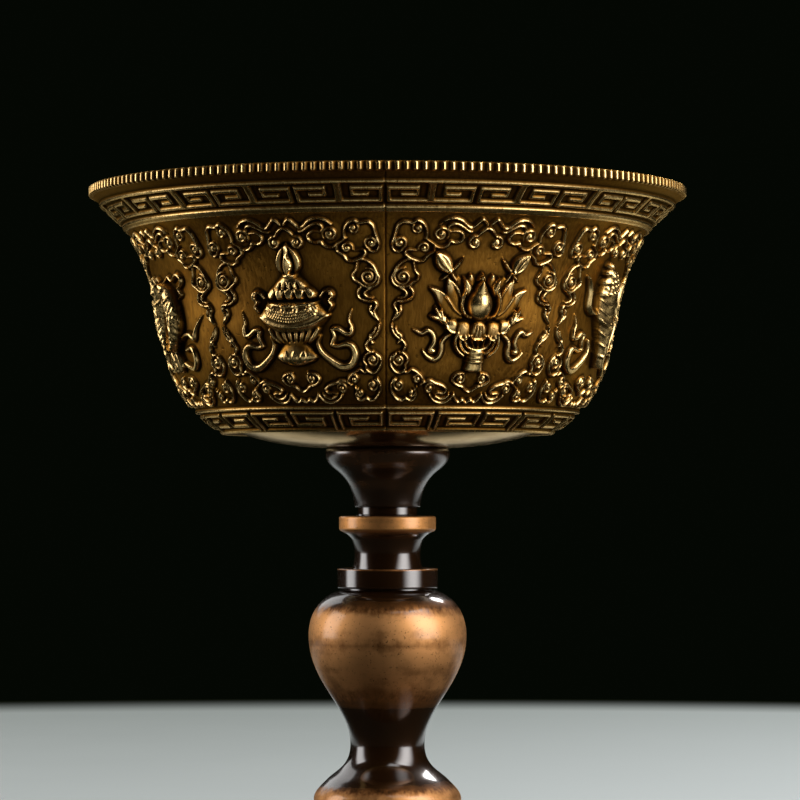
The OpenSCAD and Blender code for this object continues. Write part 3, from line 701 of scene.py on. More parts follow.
class Symbol(Motif):
    """One lucky symbol in the middle of a panel."""

    SCARF_LOOP = (
        (4.2, 98.6), (3.75, 97.4), (4.3, 96.1), (5.7, 94.9), (7.4, 94), (9, 94.3), (9.7, 95.6),
        (9.3, 96.9), (8.3, 97.3), (7, 97), (5.9, 97.2),
    )
    SCARF_TAIL = (
        (6, 97.3), (6.5, 98.5), (6.2, 99.5), (7.1, 99.6), (8.2, 98.9), (9.1, 98.9), (9.25, 99.9),
        (8.85, 100.9), (9.35, 102.5),
    )

    def side_scarves(self) -> None:
        """Carves the pair of wide scarves that hang in a loop on both sides of the symbol."""
        self.stroke(self.SCARF_LOOP, 0.6, 1, (0.5, 0.45), twin=True, groove=0.4)
        self.stroke(self.SCARF_TAIL, 0.4, 0.85, (0.8, 0.25), twin=True, groove=0.25)


class TreasureVase(Symbol):
    """Lidded vase with a jewel, swags of beads and two scarves."""

    name = "vase"

    def carve(self) -> None:
        """Carves the vase; see Motif."""
        self.side_scarves()
        belly = (
            (103.8, 4.1), (103.2, 4.6), (102.4, 5.4), (101.6, 6.05), (100.9, 5.5), (100.2, 4.9),
            (99.4, 3.6),
        )
        self.turned(belly, 1.95)
        foot = (
            (97.9, 2.4), (97.4, 2), (97, 2.4), (96.5, 2.9), (95.8, 3.6), (95.4, 3.7), (94.9, 3.1),
            (94.3, 1.2),
        )
        self.turned(foot, 1.35)
        self.carve_lid()
        self.carve_belly()
        for x in np.linspace(-4, 4, 8):
            leaf = ((x, 99.65), (0.86 * x, 98.7), (0.62 * x, 97.7))
            self.stroke(leaf, 0.5, 1.5 - 0.07 * abs(x), (0.9, 0.6), groove=0.15)
        for x in (-1.3, 0, 1.3):
            self.leaf(((x, 94.9), (1.2 * x, 96.6)), 0.5, 0.3, rim=0.4, how=Lay.ON_TOP)
        handle = (
            (4.6, 104.4), (5.3, 105.25), (6.2, 105.3), (6.55, 104.6), (6, 103.8), (6.4, 103.1),
            (5.9, 102.4),
        )
        self.stroke(handle, 0.34, 1.1, (0.8, 0.7), twin=True)
        self.dome((6.3, 104.9), (0.42, 0.42), 1.25, twin=True)

    def carve_lid(self) -> None:
        """Carves the two tiers of the lid and the flaming jewel on it."""
        self.turned(((106.3, 2.7), (105.7, 3.5), (105, 4.2), (104.4, 4.35), (104.15, 3.7)), 1.6)
        self.turned(((107.7, 1.1), (107.3, 1.7), (106.7, 2.4), (106.1, 2.9), (105.9, 2.5)), 1.75)
        for x in (-3.4, -1.7, 0, 1.7, 3.4):
            self.leaf(((0.8 * x, 105.9), (x, 104.3)), 0.8, 0.35, 0.5, rim=0.5, how=Lay.ON_TOP)
        for x in (-2.6, -0.85, 0.85, 2.6):
            self.leaf(((x, 103.9), (0.9 * x, 105.4)), 0.42, 0.8, 0.3, how=Lay.CUT_IN)
        for x in (-1.7, -0.55, 0.55, 1.7):
            self.leaf(((0.9 * x, 105.7), (0.7 * x, 106.8)), 0.3, 0.6, 0.35, how=Lay.CUT_IN)
        self.dome((0, 107.75), (1.25, 0.45), 1.6)
        flame = ((0.9, 108), (1.45, 109.3), (1.15, 110.8), (0.3, 112.3))
        self.leaf(flame, 0.52, 1.3, 0.4, rim=0.35, twin=True)
        self.leaf(((0, 107.9), (0, 111.1)), 0.9, 1.7, 0.42)
        self.leaf(((0, 110.4), (0, 112.5)), 0.45, 1.2)
        self.beads(((0.5, 108.7), (0.75, 109.5), (0.4, 110.3)), 4, 0.25, 0.2)

    def carve_belly(self) -> None:
        """Carves the swags round the belly."""
        sag = ((-1, 103.3), (-0.5, 102.5), (0, 102.25), (0.5, 102.5), (1, 103.3))
        for drop in (0.0, 0.46, 0.92, 1.38):
            half = 4.3 - 0.35 * drop
            swag = [(share * half, z - drop) for share, z in sag]
            self.beads(swag, round(5.4 * half), 0.21, 0.34)
        hull = ((-5.9, 101.8), (-3.2, 100.45), (0, 100.05), (3.2, 100.45), (5.9, 101.8))
        self.stroke(hull, 0.3, 0.25, how=Lay.ON_TOP)
        self.stroke(((-4.2, 103.75), (0, 103.2), (4.2, 103.75)), 0.28, 0.3, how=Lay.ON_TOP)
        for x in (-3, -1, 1, 3):
            self.leaf(((x, 103.4), (0.97 * x, 101.8 + 0.05 * x * x)), 0.45, 0.3, how=Lay.ON_TOP)


class Lotus(Symbol):
    """Open lotus with two buds, on a banded stalk with fluttering scarves."""

    name = "lotus"

    def carve(self) -> None:
        """Carves the lotus; see Motif."""
        self.carve_back_petals()
        self.carve_heart()
        self.carve_calyx()
        self.carve_stalk()
        self.carve_buds()
        self.carve_scarves()

    def carve_back_petals(self) -> None:
        """Carves the tips that show behind and the two pairs of spreading petals."""
        self.leaf(((0, 104.5), (0, 108.2)), 0.9, 0.8, 0.62)
        self.leaf(((1.5, 105), (1.8, 108)), 0.75, 0.75, 0.6, twin=True)
        self.leaf(((3.1, 104.8), (3.8, 107.6)), 0.7, 0.7, 0.6, rim=0.3, twin=True)
        outer = ((2.7, 101.2), (4.4, 102.1), (5.6, 103.6), (6.6, 104.9), (8.1, 105.85))
        self.leaf(outer, 1.05, 1, 0.38, rim=0.25, twin=True)
        ridge = ((3, 101.7), (4, 102.45), (4.7, 103.4), (5.35, 104.35), (6.3, 105.15), (8, 105.85))
        self.stroke(ridge, 0.28, 1.15, (0.8, 0.25), twin=True)
        second = ((2.9, 101.8), (3.9, 103.4), (4.5, 105.1), (5.3, 107.3))
        self.leaf(second, 1.15, 1.15, 0.5, rim=0.2, twin=True)
        ridge = ((3.15, 103.9), (3.5, 105), (4.1, 106.1), (5.25, 107.3))
        self.stroke(ridge, 0.3, 1.3, (0.5, 0.3), twin=True)

    def carve_heart(self) -> None:
        """Carves the bud in the middle and the two cupped petals that hold it."""
        petal = ((1, 101.2), (2.2, 102.4), (2.6, 104.2), (2.3, 105.8), (2.85, 107.4))
        self.leaf(petal, 1, 1.2, 0.45, rim=0.6, twin=True)
        cup = (
            (1.3, 101.3), (2.45, 101.9), (3, 103), (2.95, 104.3), (2.6, 105.4), (2.7, 106.4),
            (2.9, 107.4),
        )
        self.stroke(cup, 0.38, 1.7, (0.8, 0.4), twin=True)
        self.leaf(((2.2, 104.5), (2.1, 105.8), (2.85, 107.4)), 0.68, 1.5, 0.52, twin=True)
        self.leaf(((0, 105.4), (0, 108)), 0.85, 1.35, 0.4)
        self.leaf(((0, 100.4), (0, 107.3)), 2.75, 0.9, 0.42, how=Lay.CUT_IN)
        self.dome((0, 103.3), (2.2, 2.65), 1.95, slope=0.55)
        self.leaf(((0, 103.8), (0, 107.2)), 1.3, 1.6, 0.36)

    def carve_calyx(self) -> None:
        """Carves the lobes below the petals and the jagged leaves beside them."""
        lobes = ((5.7, 101, 1, 0.7, 40), (4.2, 100.1, 1.35, 1, 22), (2.5, 99.5, 1.5, 1.4, -8))
        for x, z, wide, tall, turn in lobes:
            self.dome((x, z), (wide, tall), 1.1, turn, twin=True, slope=0.2)
        self.dome((0, 99.5), (1.45, 1.45), 1.25, slope=0.2)
        self.stroke(((-1.3, 98.75), (-0.75, 98.2), (0, 98.1), (0.75, 98.2), (1.3, 98.75)), 0.22, 1.45)
        self.stroke(((1.45, 98.8), (2.2, 98.15), (3, 98.35), (3.4, 99.1)), 0.22, 1.4, twin=True)
        self.stroke(((3.5, 99.2), (4.3, 99.15), (5, 99.7), (5.4, 100.5)), 0.2, 1.3, twin=True)
        cuts = (((1.4, 100.9), (1.45, 98.1)), ((3.4, 101), (3.7, 98.8)), ((5.1, 101.6), (5.4, 100)))
        for cut in cuts:
            self.stroke(cut, 0.12, 0.34, how=Lay.CUT_IN, twin=True)
        for x in (-0.7, 0, 0.7):
            self.stroke(((0.6 * x, 100.1), (x, 98.6)), 0.12, 0.25, how=Lay.CUT_IN)
        leaves = (
            ((5.2, 100.5), (6.3, 101.5), (7.1, 103.1)),
            ((5.6, 100.7), (6.9, 101.3), (8, 101.6)),
            ((5.8, 101.1), (6.2, 102.7)),
        )
        for leaf in leaves:
            self.leaf(leaf, 0.45, 1, 0.5, rib=0.2, twin=True)

    def carve_stalk(self) -> None:
        """Carves the bands that gather the stalk."""
        self.stroke(((3.55, 98.7), (3.6, 97.5), (3.1, 96.5), (2.1, 95.75)), 0.33, 1.15, twin=True)
        self.stroke(((2.85, 98.7), (2.8, 97.6), (2.3, 96.7), (1.5, 96.1)), 0.3, 1.2, twin=True)
        self.stroke(((2.15, 98.7), (2.05, 97.8), (1.5, 97.05), (0.7, 96.75), (0, 96.7)), 0.3, 1.2, twin=True)
        for top, low in ((-1.25, -0.45), (0.1, 0.25), (1.6, 1)):
            self.stroke(((top, 98.7), (low, 97)), 0.2, 0.7)
        column = (
            (96.8, 1.4), (96.3, 1.7), (95.8, 1.55), (95.5, 1.75), (95.2, 1.5), (94.95, 1.8), (94.7, 1.55),
            (93.8, 1.75), (93.45, 1.6),
        )
        self.turned(column, 1.35)

    def carve_buds(self) -> None:
        """Carves the bud on each side with its stem and sepals."""
        self.stroke(((3.9, 106.8), (4.5, 107.6), (5, 108.5)), 0.26, 0.8, twin=True)
        self.leaf(((4.8, 107.95), (6, 109.5), (7.3, 111.2)), 1.3, 1.3, 0.5, twin=True)
        self.stroke(((5.1, 108.6), (5.9, 110), (7, 111)), 0.14, 0.3, (0.8, 0.3), Lay.CUT_IN, True)
        self.stroke(((5.3, 108.3), (6.5, 109.2), (7.2, 110.7)), 0.14, 0.3, (0.8, 0.3), Lay.CUT_IN, True)
        self.leaf(((4.9, 108.1), (3.95, 109.2), (3, 110.4)), 0.32, 0.8, 0.35, twin=True)
        self.leaf(((5.1, 107.9), (5.8, 107.3), (6.4, 106.8)), 0.3, 0.7, 0.35, twin=True)

    def carve_scarves(self) -> None:
        """Carves the scarf that loops and flutters on each side."""
        loop = (
            (4.3, 98.9), (5.15, 98.4), (5.75, 97.6), (5.7, 96.6), (6, 95.6), (6.85, 95.05), (7.9, 95.5),
            (8.65, 96.25),
        )
        self.stroke(loop, 0.46, 0.9, (0.8, 0.5), twin=True, groove=0.35)
        self.dome((7.2, 96.3), (0.75, 0.45), 0.75, twin=True)
        tail = ((7.5, 96.6), (6.9, 97.7), (7.2, 98.8), (8, 99.35), (8.9, 98.9), (9.8, 99.25), (10.4, 99.45))
        self.stroke(tail, 0.4, 0.8, (1, 0.3), twin=True, groove=0.25)


class Conch(Symbol):
    """Conch with its whorls uppermost, tied with scarves."""

    name = "conch"

    def carve(self) -> None:
        """Carves the conch; see Motif."""
        self.side_scarves()
        self.leaf(((-2.2, 109.8), (-0.4, 105.5), (0.6, 100.5), (0.2, 94.6)), 4.3, 1.9, 0.4)
        self.leaf(((2, 105.6), (2.5, 101.8), (1.2, 96)), 1.7, 1.1, 0.42, how=Lay.CUT_IN)
        lip = ((1.4, 106.6), (3.6, 104.6), (3.9, 101.4), (2.6, 98), (0.8, 94.8))
        self.stroke(lip, 0.42, 1.5, (0.6, 0.5))
        whorls = (
            (-1.6, 106.6, 2.9, 1.3, 2.1),
            (-2, 108.2, 2.2, 1, 2),
            (-2.3, 109.5, 1.5, 0.8, 1.8),
            (-2.6, 110.5, 0.9, 0.6, 1.5),
        )
        for x, z, wide, tall, rise in whorls:
            self.dome((x, z), (wide, tall), rise, 18)
        for shift in np.linspace(0, 1, 6):
            band = (
                (-3.9 + 1.4 * shift, 105.2 - 7.5 * shift),
                (-1.6 + shift, 104.4 - 7.8 * shift),
                (0.4 + 0.4 * shift, 105 - 8 * shift),
            )
            self.stroke(band, 0.2, 0.2, (0.3, 0.3), Lay.ON_TOP)
        tie = ((-4.4, 103.4), (-2.2, 101.7), (1.2, 101.3), (3.9, 102.5))
        self.stroke(tie, 0.45, 0.35, how=Lay.ON_TOP, groove=0.4)
        for row in range(4):
            for knob in range(5 - row // 2):
                centre = (-3.3 + 0.3 * row + 1.05 * knob, 105.9 + 1.05 * row + 0.3 * knob)
                self.dome(centre, (0.4, 0.36), 0.32, how=Lay.ON_TOP)
        self.leaf(((3.8, 102.6), (6, 103.7), (6.6, 106.6), (8, 108.6)), 0.8, 0.8, 0.4, rib=0.2, twin=True)


class EndlessKnot(Symbol):
    """Endless knot of one woven band, with scarves below."""

    name = "knot"
    STEP = 1.55
    CENTRE = (0, 103.2)

    def carve(self) -> None:
        """Carves the knot; see Motif."""
        self.side_scarves()
        lines = (-1, 0, 1)
        for way in (1, -1):
            for index, line in enumerate(lines):
                self.carve_band(line * 2 * self.STEP, way, index)
        for way in (1, -1):
            self.carve_loops(way)
        self.leaf(((0, 110.2), (0, 112.6)), 0.8, 1.1, rib=0.2)
        self.leaf(((0.6, 110.2), (1.7, 111.6)), 0.5, 0.9, twin=True)
        self.turned(((96.4, 1), (95.6, 1.5), (94.8, 1.2), (93.6, 2.2), (93.3, 1.6)), 1.1)

    def turn(self, u: float, v: float) -> Point:
        """A point of the weave, which stands on one corner."""
        half = math.sqrt(0.5)
        return self.CENTRE[0] + (u - v) * half, self.CENTRE[1] + (u + v) * half

    def carve_band(self, offset: float, way: int, index: int) -> None:
        """Carves one straight band, which passes over and under the bands across it.

        Args:
            offset: Distance of the band from the centre.
            way: Which of the two directions it runs in.
            index: Its place among the bands of its direction.
        """
        reach = 3.2 * self.STEP
        ends = ((-reach, offset), (reach, offset)) if way > 0 else ((offset, -reach), (offset, reach))
        self.stroke([self.turn(*end) for end in ends], 0.52, 0.85, groove=0.25)
        for cross in (-1, 0, 1):
            if (cross + index + (way > 0)) % 2:
                continue
            near, far = (2 * cross - 0.55) * self.STEP, (2 * cross + 0.55) * self.STEP
            span = ((near, offset), (far, offset)) if way > 0 else ((offset, near), (offset, far))
            self.stroke([self.turn(*end) for end in span], 0.54, 1.15, groove=0.25)

    def carve_loops(self, way: int) -> None:
        """Carves the bends that join the bands of one side, in one direction."""
        for end in (1, -1):
            tip = end * 3.2 * self.STEP
            for low, high in ((-2, 0), (0, 2)):
                middle = (tip + end * 1.3, (low + high) / 2 * self.STEP)
                bend = ((tip, low * self.STEP), middle, (tip, high * self.STEP))
                points = bend if way > 0 else tuple((v, u) for u, v in bend)
                self.stroke([self.turn(*p) for p in points], 0.5, 0.9, groove=0.25)


class VictoryBanner(Symbol):
    """Banner of victory: a jewelled finial, a canopy and three hung tiers on a staff."""

    name = "banner"

    def carve(self) -> None:
        """Carves the banner; see Motif."""
        self.side_scarves()
        self.stroke(((0, 97.5), (0, 93.6)), 0.5, 1)
        self.dome((0, 94), (1.2, 0.7), 1.2)
        self.turned(((109.6, 0.6), (109.1, 2.2), (108.2, 3.8), (107.4, 4.6), (107, 4.5)), 1.5)
        for x in (-3, -1.5, 0, 1.5, 3):
            self.stroke(((0.15 * x, 109.5), (0.7 * x, 108.6), (1.2 * x, 107.3)), 0.2, 0.2, how=Lay.ON_TOP)
        for top, half in ((107, 3.9), (104, 3.5), (101, 3.1)):
            self.carve_tier(top, half)
        self.dome((0, 110.4), (0.85, 0.85), 1.3)
        self.leaf(((0, 110.6), (0, 112.6)), 0.55, 1.1)
        self.leaf(((0.6, 110), (1.3, 110.8), (0.8, 112)), 0.4, 0.9, twin=True)
        ribbon = ((4.4, 107.2), (5.8, 106.4), (5.4, 104.8), (6.6, 103.4), (6, 101.8), (6.9, 100.6))
        self.stroke(ribbon, 0.42, 0.8, (1, 0.3), twin=True, groove=0.25)

    def carve_tier(self, top: float, half: float) -> None:
        """Carves one hung tier with its folds and its fringe.

        Args:
            top: Height of its upper edge.
            half: Half of its width.
        """
        self.turned(((top, half), (top - 0.7, half), (top - 1.8, 0.93 * half), (top - 2.4, 0.9 * half)), 1.35)
        self.stroke(((-half, top - 0.35), (0, top - 0.5), (half, top - 0.35)), 0.22, 0.28, how=Lay.ON_TOP)
        count = 7
        for x in np.linspace(-0.86 * half, 0.86 * half, count):
            self.leaf(((x, top - 0.8), (0.97 * x, top - 2.7)), 0.9 * half / count, 0.35, 0.6, how=Lay.ON_TOP)
            self.stroke(((0.97 * x, top - 2.3), (0.97 * x, top - 3)), 0.2, 0.9, (1, 0.7))


class Wheel(Symbol):
    """Eight-spoked wheel with a swirling hub, on a lotus base with scarves."""

    name = "wheel"
    CENTRE = (0, 103.6)

    def carve(self) -> None:
        """Carves the wheel; see Motif."""
        self.side_scarves()
        self.ring(self.CENTRE, 5.2, 0.75, 1.3)
        self.ring(self.CENTRE, 5.2, 0.3, 0.25, Lay.ON_TOP)
        self.ring(self.CENTRE, 4.2, 0.2, 0.8)
        for index in range(8):
            angle = math.radians(45 * index + 90)
            way = np.array((math.cos(angle), math.sin(angle)))
            centre = np.array(self.CENTRE)
            self.leaf((centre + 1.2 * way, centre + 4.7 * way), 0.55, 1.1, 0.4, rib=0.2)
            self.leaf((centre + 5.5 * way, centre + 7.6 * way), 0.62, 1.15, 0.35)
            self.dome(tuple(centre + 3.9 * way), (0.4, 0.4), 1)
        self.ring(self.CENTRE, 1.5, 0.36, 1.25)
        for start in (90, 210, 330):
            angle = math.radians(start)
            eye = (self.CENTRE[0] + 0.6 * math.cos(angle), self.CENTRE[1] + 0.6 * math.sin(angle))
            self.dome(eye, (0.55, 0.34), 1.15, start + 50)
        for x in (-2.6, -1.3, 0, 1.3, 2.6):
            petal = ((0.7 * x, 93.6), (0.95 * x, 94.8), (1.15 * x, 96.3 - 0.1 * abs(x)))
            self.leaf(petal, 0.8, 1.15 - 0.1 * abs(x), 0.5, rim=0.35)
        self.stroke(((-2.3, 93.5), (0, 93.2), (2.3, 93.5)), 0.36, 1.1)


class Parasol(Symbol):
    """Parasol with a jewel, a ribbed canopy, two hung frills and fluttering bands."""

    name = "parasol"

    def carve(self) -> None:
        """Carves the parasol; see Motif."""
        self.side_scarves()
        self.stroke(((0, 104.5), (0, 93.8)), 0.46, 1.05)
        for z in (99.4, 97.2, 94.2):
            self.dome((0, z), (0.95, 0.5), 1.35)
        self.turned(((111, 0.5), (110.4, 2), (109.4, 4), (108.3, 5.7), (107.6, 6.3), (107.2, 6.2)), 1.7)
        for x in (-4.6, -3.1, -1.5, 0, 1.5, 3.1, 4.6):
            self.stroke(((0.1 * x, 110.9), (0.7 * x, 109.6), (1.22 * x, 107.4)), 0.2, 0.22, how=Lay.ON_TOP)
        self.stroke(((-6.2, 107.35), (0, 106.85), (6.2, 107.35)), 0.28, 1.5)
        self.carve_frill(106.9, 5.9, 11)
        self.turned(((105.6, 4.6), (105, 4.7), (104.6, 4.6)), 1.1)
        self.carve_frill(104.7, 4.4, 9)
        self.dome((0, 111.6), (0.7, 0.7), 1.3)
        self.leaf(((0, 111.7), (0, 113.2)), 0.45, 1)
        band = ((5.9, 107), (7.2, 105.8), (6.6, 104.2), (7.7, 102.8), (7.1, 101.4), (8.2, 100.4))
        self.stroke(band, 0.42, 0.8, (1, 0.3), twin=True, groove=0.25)

    def carve_frill(self, top: float, half: float, count: int) -> None:
        """Carves a row of hanging folds.

        Args:
            top: Height of their upper edge.
            half: Half of the width of the row.
            count: Number of folds.
        """
        for x in np.linspace(-half, half, count):
            drop = 0.25 * (x / half) ** 2
            self.leaf(((0.97 * x, top + drop), (x, top - 1.9 + drop)), 0.92 * half / count, 1.3, 0.6)


class GoldenFish(Symbol):
    """Pair of upright fish, back to back, with scales, ribbed fins and curling barbels."""

    name = "fish"
    SPINE = ((0.8, 108), (2, 105.6), (2.75, 102.8), (2.45, 99.9), (1, 97))

    def carve(self) -> None:
        """Carves both fish; see Motif."""
        self.carve_fins()
        self.leaf(self.SPINE, 1.95, 2, 0.4, twin=True)
        self.carve_scales()
        self.carve_heads()
        loop = ((1.4, 95.9), (3, 94.9), (5.2, 94.4), (6.6, 95.3), (6.65, 96.8), (5.8, 97.5), (4, 97.2))
        self.stroke(loop, 0.5, 0.95, (0.6, 0.6), twin=True, groove=0.35)
        tail = ((3.6, 98.9), (4.7, 99.5), (6.2, 99.5), (7.4, 98.8), (8, 99.8), (8.9, 100.9), (10.6, 102.3))
        self.stroke(tail, 0.42, 0.85, (0.8, 0.25), twin=True, groove=0.25)

    def carve_fins(self) -> None:
        """Carves the tails and the ribbed back fins."""
        for tip in ((-0.6, 94.6), (0.7, 93.9), (2.1, 94.6)):
            self.leaf(((1, 97.6), (0.5 * (1.0 + tip[0]), 96), tip), 0.75, 1.1, 0.6, rib=0.2, twin=True)
        edge = ((2.9, 105), (4.1, 103.6), (4.5, 101.9), (4, 100.2), (2.9, 98.5))
        self.stroke(edge, 0.3, 1.05, (0.5, 0.5), twin=True)
        for z in np.linspace(99.4, 104.2, 9):
            root = 2.75 - 0.06 * (z - 102.4) ** 2
            self.stroke(((root, z + 0.25), (root + 1.6, z - 0.15)), 0.2, 1.15, (1, 0.6), twin=True)

    def carve_scales(self) -> None:
        """Carves rows of scales over both bodies."""
        line = smooth_path(self.SPINE, 12)
        for row, share in enumerate(np.linspace(0.36, 0.92, 14)):
            at = line[round(share * (len(line) - 1))]
            half = 1.5 * math.sin(math.pi * share**0.75) ** 0.8
            count = max(2, round(half / 0.3))
            for x in np.linspace(-half, half, count) + (0.15 if row % 2 else -0.15):
                self.dome((at[0] + x, at[1]), (0.33, 0.36), 0.2, how=Lay.ON_TOP, twin=True)

    def carve_heads(self) -> None:
        """Carves the gills, eyes, mouths and barbels."""
        self.stroke(((0.4, 105.4), (1.9, 104.8), (3.2, 105.5)), 0.22, 0.3, how=Lay.ON_TOP, twin=True)
        self.dome((1.75, 106.7), (0.42, 0.42), 0.4, how=Lay.ON_TOP, twin=True)
        barbel = (
            (1.3, 108.1), (2.6, 108.7), (3.7, 108), (5.4, 108.9), (6.6, 108.3), (6.3, 107.3),
            (5.1, 106.7), (5.8, 105.7), (4.4, 105.1),
        )
        self.stroke(barbel, 0.32, 0.8, (1, 0.5), twin=True)


@dataclass
class CarvedBowl:
    """Cast jacket with its carved panels and its two fret bands.

    Attributes:
        line: Outer line of the jacket.
        columns: Points across one panel.
        rows: Points up one panel.
        wall: Thickness of the pieces, in millimetres.
        back_rows: Points down the back of a piece.
    """

    line: JacketLine
    columns: int = 281
    rows: int = 281
    wall: float = 0.85
    back_rows: int = 6

    NODES = ("relief_jacket", "symbol_relief", "cloud_relief")
    PANELS = 8
    PANEL_LOW = 88.3
    PANEL_HIGH = 116.7
    PANEL_RADIUS = 37.0
    TURN = math.radians(-0.45)
    SEAM_DEPTH = 0.16
    SEAM_WIDTH = 0.13
    PANEL_SOFTNESS = 0.7
    BAND_SOFTNESS = 0.6

    SYMBOLS = (Lotus, Conch, EndlessKnot, VictoryBanner, Wheel, Parasol, GoldenFish, TreasureVase)

    def build(self, skin: Skin) -> None:
        """Builds every panel and both bands.

        Args:
            skin: Finish of the cast brass.
        """
        clouds = self.plain_panel(CloudBorder)
        clouds.carve()
        for index, symbol in enumerate(self.SYMBOLS):
            piece = self.build_panel(index, symbol, clouds.h)
            finish_piece(piece, Body.BOWL, self.NODES, skin)
        for fret in (UpperFret(self.line), LowerFret(self.line)):
            piece = self.build_band(fret)
            finish_piece(piece, Body.BOWL, (fret.node,), skin)

    def angles(self) -> np.ndarray:
        """Angles of the columns of one panel from its middle line, in radians."""
        half = math.pi / self.PANELS
        return np.linspace(-half, half, self.columns)

    def plain_panel(self, motif: type[Motif]) -> Motif:
        """A plain panel, with its width measured at the middle of its height, ready to carve.

        Args:
            motif: What it is to be carved with.

        Returns:
            The panel.
        """
        heights = self.line.even_heights(self.PANEL_LOW, self.PANEL_HIGH, self.rows)
        z, angle = np.meshgrid(heights, self.angles(), indexing="ij")
        return motif(angle * self.PANEL_RADIUS, z)

    def build_panel(self, index: int, symbol: type[Symbol], clouds: Grid) -> Piece:
        """Builds one panel with its symbol and its frame of clouds.

        Args:
            index: Place of the panel round the cup.
            symbol: Symbol in its middle.
            clouds: Carving of the frame.

        Returns:
            The panel.
        """
        panel = self.plain_panel(symbol)
        panel.h += clouds
        panel.carve()
        height = blurred(panel.h, self.PANEL_SOFTNESS, self.PANEL_SOFTNESS)
        left = (panel.x - panel.x[:, :1]) / self.SEAM_WIDTH
        right = (panel.x[:, -1:] - panel.x) / self.SEAM_WIDTH
        if index == 0:
            height = height - self.SEAM_DEPTH * np.exp(-(left**2))
        if index == self.PANELS - 1:
            height = height - self.SEAM_DEPTH * np.exp(-(right**2))
        middle = (index + 0.5) * FULL_TURN / self.PANELS
        name = f"panel_{symbol.name}"
        return self.wall_piece(name, middle + self.angles(), panel.z[:, 0], height, self.wear_and_shade(height))

    def build_band(self, fret: "FretBand") -> Piece:
        """Builds one fret band as a full ring.

        Args:
            fret: The band.

        Returns:
            The ring.
        """
        heights = self.line.even_heights(fret.low, fret.high, fret.rows)
        keys = np.tile(fret.unit(heights), fret.count)
        height = blurred(keys, self.BAND_SOFTNESS, self.BAND_SOFTNESS)
        angles = np.linspace(0, FULL_TURN, height.shape[1] + 1)
        height = np.column_stack([height, height[:, 0]])
        off_seam = np.minimum(angles, FULL_TURN - angles) * self.line.radius(heights)[:, None]
        height = height - self.SEAM_DEPTH * np.exp(-((off_seam / self.SEAM_WIDTH) ** 2))
        return self.wall_piece(fret.name, angles, heights, height, fret.wear_and_shade(height))

    def wall_piece(
        self, name: str, angles: np.ndarray, heights: np.ndarray, carving: Grid, wear_and_shade: tuple[Grid, Grid]
    ) -> Piece:
        """Closes a carved face to a wall with a back.

        Args:
            name: Name of the piece.
            angles: Angle of each column from the front of the cup, in radians.
            heights: Height of each row.
            carving: How far each point stands out.
            wear_and_shade: Ridges rubbed bright, and hollows darkened by patina and painted shade.

        Returns:
            The piece, with its masks of ridges and hollows.
        """
        front_r, front_z = self.line.face(np.broadcast_to(heights[:, None], carving.shape), carving)
        down = np.linspace(heights[-1], heights[0], self.back_rows)
        back_r, back_z = self.line.face(down, -self.wall)
        back_z[0], back_z[-1] = heights[-1], heights[0]
        shape = (self.back_rows, len(angles))
        radius = np.vstack([front_r, np.broadcast_to(back_r[:, None], shape), front_r[:1]])
        height = np.vstack([front_z, np.broadcast_to(back_z[:, None], shape), front_z[:1]])
        turned = angles + self.TURN
        sheet = np.stack([radius * np.sin(turned), -radius * np.cos(turned), height], axis=-1) * MM
        ridge, hollow = wear_and_shade
        plain = np.zeros((self.back_rows + 1, len(angles)))
        masks = {Mask.RIDGE: np.vstack([ridge, plain]), Mask.PATINA_AND_SHADE: np.vstack([hollow, plain])}
        return fold_sheet(name, sheet, masks)

    @staticmethod
    def wear_and_shade(carving: Grid) -> tuple[Grid, Grid]:
        """Where hands have rubbed the carving bright, and where its hollows darken with patina and painted
        shade.

        Args:
            carving: How far each point stands out.

        Returns:
            The ridges and the hollows, from nothing to one.
        """
        wide = blurred(carving, 9, 9)
        close = blurred(carving, 3, 3)
        sharp = np.clip((carving - wide) / 0.42, 0, 1)
        raised = np.clip(carving / 0.35, 0, 1)
        tops = np.clip((carving - 0.75) / 0.55, 0, 1)
        # Creases beside the raised forms are darkened as painted shade; the wider valleys as the dark patina
        # of the ground together with painted shade.
        creases, valleys = (close - carving) / 0.12, (wide - carving) / 0.5
        return np.maximum(sharp * raised, 0.62 * tops), np.clip(np.maximum(creases, valleys), 0, 1)


